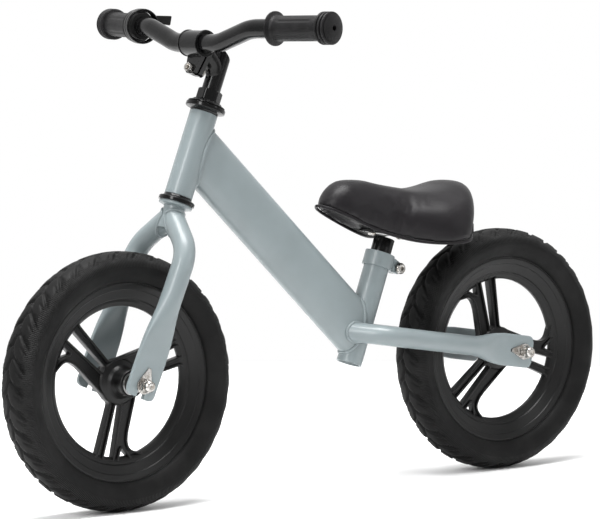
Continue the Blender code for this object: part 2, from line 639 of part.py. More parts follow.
def seat_clamp(seat):
    top = SEAT_TUBE_LENGTH + 0.001
    low = top - COLLAR_HEIGHT
    inner = SEAT_TUBE_RADIUS + GAP
    outer = inner + COLLAR_WALL
    collar = add("seat_clamp", sleeve(inner, outer, low, top, 24), PAINT, seat)
    reach = COLLAR_LUG_REACH
    side = rounded([(inner + 0.001, low + 0.0005, 0), (reach + 0.001, low + 0.0005, 0.0035),
                    (reach + 0.0062, low + 0.006, 0.004), (reach + 0.004, top - 0.0045, 0.003),
                    (inner + 0.001, top - 0.0005, 0)], 3)
    turn = Matrix(((1, 0, 0), (0, 0, -1), (0, 1, 0)))
    lug = prism(side, -COLLAR_LUG_HALF, COLLAR_LUG_HALF)
    combine(collar, guide("union_seat_lug", lug, seat, turn=turn), "UNION")
    slit = block((inner - 0.003, -COLLAR_SLIT / 2, low - 0.01), (reach + 0.02, COLLAR_SLIT / 2, top + 0.01))
    combine(collar, guide("cut_seat_slit", slit, seat))
    bolt_z = (low + top) / 2 - 0.0010
    centre = (reach, 0, bolt_z)
    hole = rod(COLLAR_BOLT_RADIUS + GAP, -0.03, 0.03, 12)
    combine(collar, guide("cut_seat_bolt", hole, seat, centre, ALONG_Y))

    face = COLLAR_LUG_HALF + GAP
    outward = side_turn((0, -1, 0))
    head_thick = 0.0050
    shank = rod(COLLAR_BOLT_RADIUS, -face - 0.0070, face + 0.001, 12)
    bolt = add("seat_clamp_bolt", shank, ZINC, seat, centre, outward)
    cap = lathe([(0, face), (0.0068, face), (0.0068, face + head_thick * 0.65), (0.0050, face + head_thick),
                 (0, face + head_thick)], 16)
    combine(bolt, guide("union_seat_bolt", cap, seat, centre, outward), "UNION")
    nut = prism(hexagon(0.013), -face - 0.0063, -face)
    nut = add("seat_clamp_nut", nut, ZINC, seat, centre, outward)
    bore = rod(COLLAR_BOLT_RADIUS + GAP, -0.03, 0.0, 12)
    combine(nut, guide("cut_seat_nut", bore, seat, centre, outward))


def headset(head, steering):
    """Cups pressed into the head tube, balls in retainers, and the parts threaded on the steerer."""
    bore = STEERER_RADIUS + HEADSET_RUNNING
    insert = HEAD_TUBE_BORE - GAP
    cups = (("upper", HEADSET_UPPER_RADIUS, 1, HEAD_TUBE_LENGTH), ("lower", HEADSET_LOWER_RADIUS, -1, 0.0))
    for name, wide, sign, place in cups:
        cup = [(bore, -HEADSET_INSERT), (insert, -HEADSET_INSERT), (insert, GAP), (HEAD_TUBE_RADIUS, GAP),
               (wide, 0.0040), (wide, 0.0085), (wide - 0.0020, 0.0085), (wide - 0.0020, 0.0035),
               (bore, 0.0035)]
        facing = side_turn((0, 0, sign))
        add(f"{name}_headset_cup", lathe(cup, 20), BLACK_PAINT, head, (0, 0, place), facing)
        near, far = bore + 0.0012, wide - 0.0028
        ring = [(near, 0.0040), (far, 0.0040), (far, 0.0072), (near, 0.0072)]
        add(f"{name}_ball_retainer", lathe(ring, 20), STEEL, head, (0, 0, place), facing)
    grip = STEERER_RADIUS + GAP
    low = HEADSET_LOWER_RADIUS - 0.0026
    race = [(grip, -0.0140), (low + 0.001, -0.0120), (low + 0.001, -0.0092), (low - 0.0008, -0.0076),
            (grip, -0.0076)]
    add("crown_race", lathe(race, 22), PAINT, steering)
    wide = HEADSET_UPPER_RADIUS - 0.0026
    base = HEAD_TUBE_LENGTH
    cone = [(grip, base + 0.0076), (wide - 0.0005, base + 0.0076), (wide, base + 0.0092),
            (wide + 0.0012, base + 0.0096), (wide + 0.0012, base + 0.0108),
            (LOCKNUT_RADIUS + 0.003, base + 0.0140),
            (grip, base + 0.0140)]
    add("headset_adjusting_cone", lathe(cone, 22), BLACK_PAINT, steering)
    top = base + LOCKNUT_TOP
    lip = base + STEERER_ABOVE + GAP
    nut = [(grip, base + 0.0140 + GAP), (LOCKNUT_RADIUS, base + 0.0140 + GAP), (LOCKNUT_RADIUS, top - 0.0008),
           (LOCKNUT_RADIUS - 0.0008, top), (QUILL_RADIUS + 0.0004, top),
           (QUILL_RADIUS + 0.0004, lip), (grip, lip)]
    add("headset_locknut", lathe(nut, 22), BLACK_PAINT, steering)


# ================================================================ fork
def fork(steering):
    bore = STEERER_RADIUS - STEERER_WALL
    tube = sleeve(bore, STEERER_RADIUS, -STEERER_BELOW, HEAD_TUBE_LENGTH + STEERER_ABOVE, 20)
    add("steerer_tube", tube, PAINT, steering)
    room = guide("cut_leg_root", rod(STEERER_RADIUS + GAP, -STEERER_BELOW - 0.02, 0.0, 20), steering)
    axle_z = -FORK_LENGTH
    for name, sign in (("left", -1), ("right", 1)):
        axle = Vector((-FORK_OFFSET, sign * DROPOUT_Y, axle_z))
        shoulder = Vector((0, sign * DROPOUT_Y, -0.0640))
        way = (axle - shoulder).normalized()
        corners = [Vector((0, sign * 0.003, -0.0250)), shoulder, axle + way * DROPOUT_PAST_AXLE]
        leg = dropout_tube(f"{name}_fork_leg", corners, 0.045, LEG_RADIUS, 0.075, axle, PAINT, steering)
        combine(leg, room)
        front = bpy.data.objects["front_wheel_axis"]
        along = Matrix.Rotation(HEAD_TILT, 3, "Y") @ way
        cut_dropout(leg, front, -along, sign, f"{name}_leg")
        retaining_washer(f"front_{name}_retaining_washer", front, sign, -along)


# ================================================================ stem and handlebar
def stem(holder):
    """Quill with a wedge at its foot, a forward neck and a split clamp for the handlebar."""
    quill = rod(QUILL_RADIUS, QUILL_BOTTOM, QUILL_TOP + 0.02, 20)
    body = add("stem", quill, BLACK_PAINT, holder)
    lip = math.tan(QUILL_CUT)
    over = block((-0.06, -0.03, 0), (0.06, 0.03, 0.08))
    cut = guide("cut_quill_top", over, holder, (0, 0, QUILL_TOP), Matrix.Rotation(math.atan(lip), 3, "Y"))
    combine(body, cut)
    centre = Vector((-CLAMP_FORWARD, 0, CLAMP_HEIGHT))
    neck_from = Vector((0, 0, CLAMP_HEIGHT - 0.0120))
    neck_way = centre - neck_from
    turn = side_turn(neck_way)
    neck = prism(rounded([(-0.0105, -0.0080, 0.004), (0.0105, -0.0080, 0.004), (0.0105, 0.0080, 0.004),
                          (-0.0105, 0.0080, 0.004)], 3), -0.002, neck_way.length - CLAMP_RADIUS * 0.6)
    combine(body, guide("union_neck", neck, holder, neck_from, turn), "UNION")
    barrel = rod(CLAMP_RADIUS, -CLAMP_LENGTH / 2, CLAMP_LENGTH / 2, 22)
    combine(body, guide("union_barrel", barrel, holder, centre, ALONG_Y), "UNION")
    lug = CLAMP_LUG_THICKNESS + CLAMP_SLIT / 2
    wide, narrow = CLAMP_LENGTH / 2 - 0.001, CLAMP_LUG_WIDTH / 2
    shield = rounded([(-wide, -CLAMP_RADIUS * 0.4, 0), (wide, -CLAMP_RADIUS * 0.4, 0),
                      (narrow, -CLAMP_LUG_DROP, 0.0045), (-narrow, -CLAMP_LUG_DROP, 0.0045)], 3)
    lugs = prism(shield, -lug, lug)
    foreaft = Matrix(((0, 0, 1), (1, 0, 0), (0, 1, 0)))
    lug_at = centre + Vector((CLAMP_LUG_BACK, 0, 0))
    combine(body, guide("union_lugs", lugs, holder, lug_at, foreaft), "UNION")
    slit = block((-CLAMP_SLIT / 2, -CLAMP_LENGTH * 0.8, -CLAMP_LUG_DROP - 0.01),
                 (CLAMP_SLIT / 2, CLAMP_LENGTH * 0.8, -0.004))
    combine(body, guide("cut_clamp_slit", slit, holder, lug_at))
    bore = lathe([(0, -CLAMP_LENGTH), (BAR_RADIUS + GAP, -CLAMP_LENGTH), (BAR_RADIUS + GAP, CLAMP_LENGTH),
                  (0, CLAMP_LENGTH)], 20, 0.06)
    combine(body, guide("cut_bar_bore", bore, holder, centre, ALONG_Y))
    bolt_at = lug_at - Vector((0, 0, CLAMP_BOLT_DROP))
    across = Matrix(((0, 0, -1), (0, 1, 0), (1, 0, 0)))
    hole = rod(CLAMP_BOLT_RADIUS + GAP, -0.04, 0.04, 12)
    combine(body, guide("cut_clamp_bolt", hole, holder, bolt_at, across))
    # Local Z of the bolt points forwards.
    face = lug + GAP
    shank = rod(CLAMP_BOLT_RADIUS, -face - 0.001, face + 0.0075, 12)
    bolt = add("bar_clamp_bolt", shank, ZINC, holder, bolt_at, across)
    bolt_head = prism(hexagon(0.010), -face - 0.0045, -face)
    combine(bolt, guide("union_clamp_bolt", bolt_head, holder, bolt_at, across), "UNION")
    nut = add("bar_clamp_nut", prism(hexagon(0.010), face, face + 0.0055), ZINC, holder, bolt_at, across)
    nut_bore = rod(CLAMP_BOLT_RADIUS + GAP, 0, 0.04, 12)
    combine(nut, guide("cut_clamp_nut", nut_bore, holder, bolt_at, across))

    # The foot of the quill is sawn at a slope, and the wedge below it is drawn up by the long bolt.
    slope = math.radians(32)
    foot_cut = block((-0.06, -0.03, -0.08), (0.06, 0.03, 0))
    combine(body, guide("cut_quill_foot", foot_cut, holder, (0, 0, QUILL_BOTTOM + 0.010),
                        Matrix.Rotation(slope, 3, "Y")))
    passage = rod(EXPANDER_BORE / 2, QUILL_BOTTOM - 0.02, QUILL_TOP + 0.03, 14)
    combine(body, guide("cut_expander", passage, holder))
    seat = rod(0.0066, QUILL_TOP - 0.0150, QUILL_TOP + 0.03, 16)
    combine(body, guide("cut_bolt_seat", seat, holder))
    wedge = rod(QUILL_RADIUS - 0.0002, QUILL_BOTTOM - 0.014, QUILL_BOTTOM + 0.02, 20)
    wedge = add("stem_wedge", wedge, ZINC, holder)
    off = block((-0.06, -0.03, 0), (0.06, 0.03, 0.08))
    combine(wedge, guide("cut_wedge_top", off, holder, (0, 0, QUILL_BOTTOM + 0.010 - 2 * GAP),
                         Matrix.Rotation(slope, 3, "Y")))
    thread = rod(EXPANDER_BOLT_RADIUS + GAP, QUILL_BOTTOM - 0.03, QUILL_BOTTOM + 0.03, 14)
    combine(wedge, guide("cut_wedge_thread", thread, holder))
    head_low = QUILL_TOP - 0.0150 + GAP
    long_bolt = rod(EXPANDER_BOLT_RADIUS, QUILL_BOTTOM - 0.012, head_low + 0.001, 14)
    long_bolt = add("stem_expander_bolt", long_bolt, ZINC, holder)
    bolt_head = rod(0.0060, head_low, head_low + 0.0070, 14)
    combine(long_bolt, guide("union_expander_head", bolt_head, holder), "UNION")
    key = prism(hexagon(0.0060), head_low + 0.0030, head_low + 0.02)
    combine(long_bolt, guide("cut_expander_key", key, holder), "DIFFERENCE")


def bar_corners(sign):
    end = Vector((BAR_END_BACK, sign * BAR_HALF_WIDTH, BAR_END_RISE))
    knee = Vector((BAR_KNEE.x, sign * BAR_KNEE.y, BAR_KNEE.z))
    return [Vector((0, sign * BAR_STRAIGHT, 0)), knee, end]


def handlebar(holder):
    """Holder stands at the clamp's centre in the bike's own directions."""
    left = bar_corners(-1)
    right = bar_corners(1)
    corners = list(reversed(left)) + right
    points, ways = fillet_path(corners, BAR_BEND, math.radians(14))
    outer = rings_along(points, ways, [oval(BAR_RADIUS, BAR_RADIUS, 2, 12)] * len(points), (0, 0, 1))
    bore = BAR_RADIUS - BAR_WALL
    inner = rings_along(points, ways, [oval(bore, bore, 2, 12)] * len(points), (0, 0, 1))
    add("handlebar", skin(outer, inner), BLACK_PAINT, holder)
    for name, sign in (("left", -1), ("right", 1)):
        _, knee, end = bar_corners(sign)
        way = (end - knee).normalized()
        cap = 0.0030
        place = end + way * cap - way * GRIP_LENGTH
        flange, body = GRIP_FLANGE_RADIUS, GRIP_RADIUS
        ring_z = GRIP_LENGTH - GRIP_RINGS_LENGTH
        profile = [(BAR_RADIUS + GAP, 0), (flange - 0.0015, 0), (flange, 0.0012),
                   (flange, GRIP_FLANGE_THICKNESS),
                   (body, GRIP_FLANGE_THICKNESS + 0.0016), (body, ring_z)]
        for i in range(2):
            z = ring_z + i * 0.0052
            profile += [(GRIP_RING_RADIUS, z + 0.0006), (GRIP_RING_RADIUS, z + 0.0036),
                        (GRIP_RING_RADIUS - 0.0014, z + 0.0044)]
        profile += [(GRIP_RING_RADIUS, z + 0.0056), (GRIP_RING_RADIUS - 0.0010, GRIP_LENGTH - 0.0022),
                    (0.0110, GRIP_LENGTH - 0.0004),
                    (0.0020, GRIP_LENGTH), (0.0020, GRIP_LENGTH - cap + GAP),
                    (BAR_RADIUS + GAP, GRIP_LENGTH - cap + GAP)]
        add(f"{name}_grip", lathe(profile, 16), RUBBER, holder, place, side_turn(way))


def bell(holder, lever_axis, place, way, pivot):
    """Ring bell beside the right grip: a clip on the bar, a sounding ring and a sprung thumb lever."""
    turn = side_turn(way)
    inner = BAR_RADIUS + GAP
    ring_bore = BELL_RADIUS - BELL_WALL
    clip_outer = ring_bore - 0.0030
    clip = sleeve(inner, clip_outer, 0.0005, BELL_WIDTH - 0.0005, 20)
    clip = add("bell_clip", clip, PLASTIC, holder, place, turn)
    foot = block((-0.0035, -ring_bore + 2 * GAP, 0.003), (0.0035, -clip_outer + 0.001, BELL_WIDTH - 0.003))
    combine(clip, guide("union_bell_foot", foot, holder, place, turn), "UNION")
    stub = rod(BELL_PIN_RADIUS, BELL_WIDTH - 0.0020, BELL_WIDTH + BELL_LEVER_THICKNESS, 12)
    combine(clip, guide("union_bell_pin", stub, holder, place + turn @ pivot, turn), "UNION")
    add("bell_ring", sleeve(ring_bore, BELL_RADIUS, 0, BELL_WIDTH, 24), BLACK_PAINT, holder, place, turn)
    reach = BELL_LEVER_REACH - pivot.x
    outline = rounded([(-0.0024, -0.0028, 0.0012), (0.0080, -0.0046, 0), (reach, -0.0040, 0.0012),
                       (reach - 0.0020, 0.0075, 0.0015), (0.0085, 0.0038, 0), (0.0012, 0.0023, 0),
                       (-0.0024, 0.0001, 0)], 3)
    lever = prism(outline, BELL_WIDTH + GAP, BELL_WIDTH + GAP + BELL_LEVER_THICKNESS)
    lever = add("bell_lever", lever, PLASTIC, lever_axis, turn=turn)
    hole = rod(BELL_PIN_RADIUS + GAP, BELL_WIDTH - 0.01, BELL_WIDTH + 0.01, 12)
    combine(lever, guide("cut_bell_lever", hole, lever_axis, turn=turn))


# ================================================================ seat
def spline(values, share):
    """Smooth curve through evenly weighted (share, value) stations."""
    for i in range(len(values) - 1):
        if share <= values[i + 1][0]:
            break
    (x0, y0), (x1, y1) = values[i], values[i + 1]
    span = x1 - x0
    before = values[i - 1] if i else (2 * x0 - x1, 2 * y0 - y1)
    after = values[i + 2] if i + 2 < len(values) else (2 * x1 - x0, 2 * y1 - y0)
    slope0 = (y1 - before[1]) / (x1 - before[0]) * span
    slope1 = (after[1] - y0) / (after[0] - x0) * span
    t = (share - x0) / span
    return ((2 * t ** 3 - 3 * t ** 2 + 1) * y0 + (t ** 3 - 2 * t ** 2 + t) * slope0
            + (3 * t ** 2 - 2 * t ** 3) * y1 + (t ** 3 - t ** 2) * slope1)


# Saddle outline along its length: share of length, then height above the ground or share of half width.
SADDLE_TOP = [(0.0, 0.346), (0.06, 0.361), (0.163, 0.3700), (0.36, 0.3620), (0.60, 0.3535), (0.76, 0.3562),
              (0.90, 0.3645), (0.965, 0.3580), (1.0, 0.3430)]
SADDLE_EDGE = [(0.0, 0.3385), (0.13, 0.3250), (0.27, 0.3105), (0.45, 0.2965), (0.60, 0.2912), (0.80, 0.2935),
               (0.93, 0.3065), (1.0, 0.3240)]
SADDLE_PLAN = [(0.0, 0.06), (0.03, 0.22), (0.12, 0.355), (0.28, 0.42), (0.45, 0.60), (0.60, 0.86),
               (0.72, 1.0), (0.84, 0.93), (0.93, 0.64), (0.98, 0.36), (1.0, 0.14)]
SADDLE_STATIONS = (0.0, 0.025, 0.07, 0.14, 0.25, 0.37, 0.48, 0.58, 0.68, 0.78, 0.86, 0.93, 0.975, 1.0)


def saddle_section(share, inset, low_offset, roof_offset):
    """Half-round top over the edge line; inset, and offsets of the edge and of the roof."""
    top = spline(SADDLE_TOP, share) - roof_offset
    edge = spline(SADDLE_EDGE, share) + low_offset
    half = max(0.002, spline(SADDLE_PLAN, share) * SADDLE_WIDTH / 2 - inset)
    x = SADDLE_NOSE + SADDLE_LENGTH * share
    points = []
    for i in range(9):
        angle = math.pi * i / 8
        c, s = math.cos(angle), math.sin(angle)
        wide = half * math.copysign(abs(c) ** 0.75, c)
        points.append(Vector((x, wide, edge + (top - edge) * abs(s) ** 0.8)))
    return points


def saddle(seat_slide, root):
    post_foot = SEAT_POST_BOTTOM
    bore = SEAT_POST_RADIUS - SEAT_POST_WALL
    post = sleeve(bore, SEAT_POST_RADIUS, post_foot, SEAT_POST_TOP + 0.012, 20)
    post = add("seat_post", post, BLACK_PAINT, seat_slide)
    # Everything of the saddle is drawn in the bike's directions and hangs on the sliding post.
    upright = empty("saddle_directions", (0, 0, 0), -SEAT_TILT, seat_slide)
    shift = -(Matrix.Rotation(-SEAT_TILT, 3, "Y") @ SEAT_FOOT)
    upright.location = shift
    depth = 0.014

    def roof_of(share):
        return min(depth, 0.45 * (spline(SADDLE_TOP, share) - spline(SADDLE_EDGE, share)))

    outer_rings = []
    for share in SADDLE_STATIONS:
        outside = saddle_section(share, 0, 0, 0)
        height = spline(SADDLE_TOP, share) - spline(SADDLE_EDGE, share)
        inside = saddle_section(share, min(SADDLE_SKIN, 0.5 * abs(outside[0].y)), 0, 0)
        roof = roof_of(share)
        floor = outside[0].z
        hollow = [Vector((p.x, p.y, floor + (p.z - floor) * roof / height)) for p in reversed(inside)]
        outer_rings.append(outside + hollow)
    add("saddle_cover", skin(outer_rings), COVER, upright)

    base_rings = []
    for share in SADDLE_STATIONS[2:-2]:
        roof = roof_of(share)
        inset = SADDLE_SKIN + 0.003
        arc = saddle_section(share, inset, 0, 0)
        height = spline(SADDLE_TOP, share) - spline(SADDLE_EDGE, share)
        low = []
        high = []
        for p in arc[1:-1]:
            lift = (p.z - arc[0].z) * roof / height - GAP - 0.0016
            high.append(Vector((p.x, p.y, arc[0].z + lift)))
            low.append(Vector((p.x, p.y * 0.985, arc[0].z + lift - SADDLE_BASE_THICKNESS)))
        base_rings.append(high + list(reversed(low)))
    base = add("saddle_base", skin(base_rings), PLASTIC, upright)

    # A pressed bracket, welded to the post, carries the base on two screws.
    top = SEAT_FOOT + SEAT_UP * SEAT_POST_TOP
    tilt = BRACKET_TILT
    level = 0.0
    for step in range(11):
        x = top.x + BRACKET_AHEAD - BRACKET_LENGTH * step / 10
        share = (x - SADDLE_NOSE) / SADDLE_LENGTH
        under = spline(SADDLE_EDGE, share) + roof_of(share) - GAP - 0.0016 - SADDLE_BASE_THICKNESS
        low = under + (x - top.x) * math.tan(tilt)
        level = low if step == 0 else min(level, low)
    plate_at = Vector((top.x, 0, level - 4 * GAP))
    turn = Matrix.Rotation(tilt, 3, "Y")
    ahead, behind, wide = BRACKET_AHEAD, BRACKET_AHEAD - BRACKET_LENGTH, BRACKET_WIDTH / 2
    corner = BRACKET_CORNER
    outline = rounded([(behind, -wide, corner), (ahead, -wide, corner), (ahead, wide, corner),
                       (behind, wide, corner)], 3)
    bracket = prism(outline, -BRACKET_THICKNESS, 0)
    bracket = add("saddle_bracket", bracket, BLACK_PAINT, upright, plate_at, turn)
    over = block((-0.05, -0.04, -BRACKET_THICKNESS - GAP), (0.05, 0.04, 0.05))
    combine(post, guide("cut_post_top", over, upright, plate_at, turn))
    pad = prism([(x * 0.94, y * 0.94) for x, y in outline], GAP, 0.0034)
    combine(base, guide("union_base_pad", pad, upright, plate_at, turn), "UNION")
    for name, x in (("front", behind + 0.0095), ("rear", ahead - 0.0095)):
        at = plate_at + turn @ Vector((x, 0, 0))
        hole = rod(SADDLE_SCREW_RADIUS + GAP, -0.010, 0.0100, 14)
        hole = guide(f"cut_{name}_saddle_screw", hole, upright, at, turn)
        combine(bracket, hole)
        combine(base, hole)
        low = -BRACKET_THICKNESS - GAP
        screw = rod(SADDLE_SCREW_RADIUS, low - 0.001, 0.0042, 14)
        screw = add(f"{name}_saddle_screw", screw, ZINC, upright, at, turn)
        cap = lathe([(0, low - 0.0030), (0.0040, low - 0.0030), (0.0052, low - 0.0012), (0.0052, low),
                     (0, low)], 14)
        combine(screw, guide(f"union_{name}_saddle_screw", cap, upright, at, turn), "UNION")


def main():
    clear_scene()
    root = empty("bike_frame", (0, 0, 0))
    head = empty("head_tube_axis", HEAD_FOOT, HEAD_TILT, root)
    steering = empty("steering_axis", (0, 0, 0), 0, head)
    seat = empty("seat_tube_axis", SEAT_FOOT, SEAT_TILT, root)
    seat_slide = empty("seat_slide", (0, 0, 0), 0, seat)
    front = empty("front_wheel_axis", (-FORK_OFFSET, 0, -FORK_LENGTH), -HEAD_TILT, steering)
    rear = empty("rear_wheel_axis", REAR_AXLE, 0, root)
    stem_slide = empty("stem_slide", (0, 0, 0), 0, steering)
    bar = empty("handlebar_axis", (-CLAMP_FORWARD, 0, CLAMP_HEIGHT), -HEAD_TILT, stem_slide)
    wheel("front", front, FRONT_ARM_ANGLE)
    wheel("rear", rear, REAR_ARM_ANGLE)
    axle_set("front", front)
    axle_set("rear", rear)
    frame(root, head, seat)
    seat_clamp(seat)
    headset(head, steering)
    fork(steering)
    stem(stem_slide)
    handlebar(bar)
    _, knee, end = bar_corners(1)
    way = (end - knee).normalized()
    grip_start = end + way * 0.0030 - way * GRIP_LENGTH
    bell_place = grip_start - way * (BELL_WIDTH + BELL_LEVER_THICKNESS + 3 * GAP)
    # Behind the bar and a little above it; local Y points down.
    pivot = Vector((0.0112, -0.0078, 0.0))
    bell_turn = side_turn(way)
    lever_axis = empty("bell_lever_axis", bell_place + bell_turn @ pivot, 0, bar)
    bell(bar, lever_axis, bell_place, way, pivot)
    saddle(seat_slide, root)


main()
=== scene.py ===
# %% [markdown]
# # A child's balance bike, from its fixed frame to a finished picture
# They fix every size and every joint. This lesson makes the surfaces that people see: foam tyres with a
# tread, moulded wheels, welded tubes, grips and a padded saddle.

# %% Load the frame
import json
import math

import bmesh
import bpy
import numpy as np
from mathutils import Matrix, Vector


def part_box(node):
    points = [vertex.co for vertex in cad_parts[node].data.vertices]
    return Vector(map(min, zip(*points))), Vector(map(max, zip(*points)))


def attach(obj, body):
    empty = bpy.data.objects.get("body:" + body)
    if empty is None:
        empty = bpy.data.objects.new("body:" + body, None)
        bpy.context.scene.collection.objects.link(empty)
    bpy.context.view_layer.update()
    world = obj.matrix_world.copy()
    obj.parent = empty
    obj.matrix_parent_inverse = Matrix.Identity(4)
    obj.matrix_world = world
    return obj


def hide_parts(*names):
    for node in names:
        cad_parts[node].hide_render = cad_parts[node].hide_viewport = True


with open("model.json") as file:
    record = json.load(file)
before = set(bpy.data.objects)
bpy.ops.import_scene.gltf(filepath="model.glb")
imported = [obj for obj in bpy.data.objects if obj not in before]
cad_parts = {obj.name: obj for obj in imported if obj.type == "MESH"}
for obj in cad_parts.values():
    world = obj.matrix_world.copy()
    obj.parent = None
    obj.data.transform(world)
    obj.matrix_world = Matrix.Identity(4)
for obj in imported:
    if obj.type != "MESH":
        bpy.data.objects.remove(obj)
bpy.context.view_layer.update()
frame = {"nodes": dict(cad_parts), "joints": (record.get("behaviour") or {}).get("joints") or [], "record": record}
ACROSS = np.array([0, 1.0, 0])
JOINTS = {joint["name"]: joint for joint in frame["joints"]}

# %% [markdown]
# Points, arcs and directions are plain arrays of numbers.  A few short functions are enough for the
# whole bike: one makes a vector one long, one rounds the corners of a line, one draws a smooth curve
# through stations, and one spreads points evenly along a line.


# %% Lines and curves
def unit(vector):
    vector = np.asarray(vector, float)
    return vector / np.linalg.norm(vector, axis=-1, keepdims=True)


def rounded(corners, radius, steps=6, closed=True):
    """Every corner C becomes the curve (1-s)^2 A + 2s(1-s) C + s^2 B.

    A and B lie on the two edges, radius / tan(half the angle) away from the corner.
    """
    corners = np.asarray(corners, float)
    before, after = np.roll(corners, 1, 0) - corners, np.roll(corners, -1, 0) - corners
    half = np.arccos(np.clip((unit(before) * unit(after)).sum(1), -0.9999, 0.9999)) / 2
    reach = np.broadcast_to(radius, half.shape) / np.tan(half)

    def toward(edge):
        length = np.linalg.norm(edge, axis=1)
        return corners + edge * (np.minimum(reach, 0.48 * length) / length)[:, None]

    start, end = toward(before)[:, None], toward(after)[:, None]
    s = np.linspace(0, 1, steps + 1)[None, :, None]
    curve = (1 - s) ** 2 * start + 2 * s * (1 - s) * corners[:, None] + s ** 2 * end
    if not closed:
        curve[0], curve[-1] = corners[0], corners[-1]
    return curve.reshape(-1, corners.shape[1])


def smooth(stations, count):
    """Catmull-Rom: on each span the cubic whose end slopes are half the chord between neighbours."""
    stations = np.asarray(stations, float)
    last = len(stations) - 1
    t = np.linspace(0, last, count)
    i = np.minimum(t.astype(int), last - 1)
    f = (t - i)[:, None]
    a, b, c, d = (stations[np.clip(i + k, 0, last)] for k in (-1, 0, 1, 2))
    curved = (2 * a - 5 * b + 4 * c - d) * f ** 2 + (3 * b - a - 3 * c + d) * f ** 3
    return 0.5 * (2 * b + (c - a) * f + curved)


def evenly(line, count):
    """Count points along a line, equal lengths apart, and the length of the line."""
    steps = np.linalg.norm(np.diff(line, axis=0), axis=1)
    travelled = np.concatenate([[0], np.cumsum(steps)])
    wanted = np.linspace(0, travelled[-1], count)
    places = [np.interp(wanted, travelled, line[:, k]) for k in range(line.shape[1])]
    return np.stack(places, 1), travelled[-1]


def ease(value, low, high):
    """0 below low, 1 above high, and the smooth step 3t^2 - 2t^3 between."""
    t = np.clip((value - low) / (high - low), 0, 1)
    return t * t * (3 - 2 * t)


print("a rounded unit square has", len(rounded([(0, 0), (1, 0), (1, 1), (0, 1)], 0.2)), "points")


# %% [markdown]
# A surface is a grid of points, rows along it and columns around it.  The same grid of indices joins
# any such points into four-sided faces.  Tubes and turned parts both use it: a turned part is a
# profile carried round an axis, and a tube is a section carried along a path.  Working on whole
# arrays keeps this quick and keeps each formula in one line.


# %% Grids, turned parts and tubes
def grid(points, closed_rows=False):
    """Faces between the rows and the closed columns of an array of points (rows, columns, 3)."""
    rows, columns = points.shape[:2]
    r, c = np.meshgrid(np.arange(rows if closed_rows else rows - 1), np.arange(columns), indexing="ij")
    down, right = (r + 1) % rows, (c + 1) % columns
    quads = np.stack([r * columns + c, r * columns + right, down * columns + right, down * columns + c], -1)
    return points.reshape(-1, 3), quads.reshape(-1, 4)


def capped(points):
    """A tube's rows with a last row at the middle of each end, so that the shell is closed."""
    first = np.repeat(points[:1].mean(1, keepdims=True), points.shape[1], 1)
    last = np.repeat(points[-1:].mean(1, keepdims=True), points.shape[1], 1)
    return np.concatenate([first, points, last])


def turned(profile, place, direction, count=72, level=(1, 0, 0), reshape=None):
    """Profile rows (radius, height) round an axis: P = place + x r cos a + y r sin a + z h.

    reshape(r, h, a) may change the radius, for flutes and flats.  A profile that starts and ends on
    the axis is closed by its poles; any other is a ring and closes on itself.
    """
    profile = np.asarray(profile, float)
    z = unit(direction)
    x = unit(level - z * np.dot(level, z))
    y = np.cross(z, x)
    angle = np.linspace(0, 2 * np.pi, count, endpoint=False)[None, :, None]
    radius, height = profile[:, 0, None, None], profile[:, 1, None, None]
    if reshape is not None:
        radius = reshape(radius, height, angle)
    points = np.asarray(place, float) + x * radius * np.cos(angle) + y * radius * np.sin(angle) + z * height
    on_axis = profile[0, 0] < 1e-7 and profile[-1, 0] < 1e-7
    return grid(points, closed_rows=not on_axis)


def carried(path, sections, up, closed=False):
    """Sections (x, y) along a path: P = C + across x + thick y, with across = up x way."""
    path = np.asarray(path, float)
    if closed:
        way = unit(np.roll(path, -1, 0) - np.roll(path, 1, 0))
    else:
        way = unit(np.gradient(path, axis=0))
    across = unit(np.cross(np.broadcast_to(np.asarray(up, float), path.shape), way))
    thick = np.cross(way, across)
    sections = np.broadcast_to(np.asarray(sections, float), (len(path),) + np.shape(sections)[-2:])
    return path[:, None] + across[:, None] * sections[..., :1] + thick[:, None] * sections[..., 1:]


def plate(outline, low, high, place, x, y, z):
    """A flat outline with thickness, for cutting openings."""
    outline = np.asarray(outline, float)
    flat = np.stack([np.concatenate([outline, np.full((len(outline), 1), height)], 1)
                     for height in (low, high)])
    points = np.asarray(place, float) + flat[..., :1] * x + flat[..., 1:2] * y + flat[..., 2:] * z
    return grid(capped(points))


def circle(radius, count):
    angle = np.linspace(0, 2 * np.pi, count, endpoint=False)
    return np.stack([radius * np.cos(angle), radius * np.sin(angle)], 1)


def tube_profile(bore, radius, low, high, rim=0.0004):
    """Half section (radius, height) of a tube with eased rims, or of a rod when the bore is 0."""
    corners = [(bore, low), (radius, low), (radius, high), (bore, high)]
    return rounded(corners, rim, 3, closed=bore > 0)


def mirrored(half):
    """A profile that runs in from one face of a wheel, continued to the other face."""
    return half + [(radius, -height) for radius, height in reversed(half)]


def from_flat(angle):
    """Angle to the middle of the nearest of six flats."""
    return (angle + np.pi / 6) % (np.pi / 3) - np.pi / 6


def oval(half_wide, half_thick, power, count=64):
    """Superellipse |x/a|^p + |y/b|^p = 1, for arrays of half widths, thicknesses and powers."""
    angle = np.linspace(0, 2 * np.pi, count, endpoint=False)
    c, s = np.cos(angle), np.sin(angle)
    share = 2 / np.reshape(power, (-1, 1))
    return np.stack([np.sign(c) * np.abs(c) ** share * np.reshape(half_wide, (-1, 1)),
                     np.sign(s) * np.abs(s) ** share * np.reshape(half_thick, (-1, 1))], -1)


print("a test ring has", len(turned([(1, 0), (2, 0), (2, 1)], (0, 0, 0), (0, 0, 1))[1]), "faces")


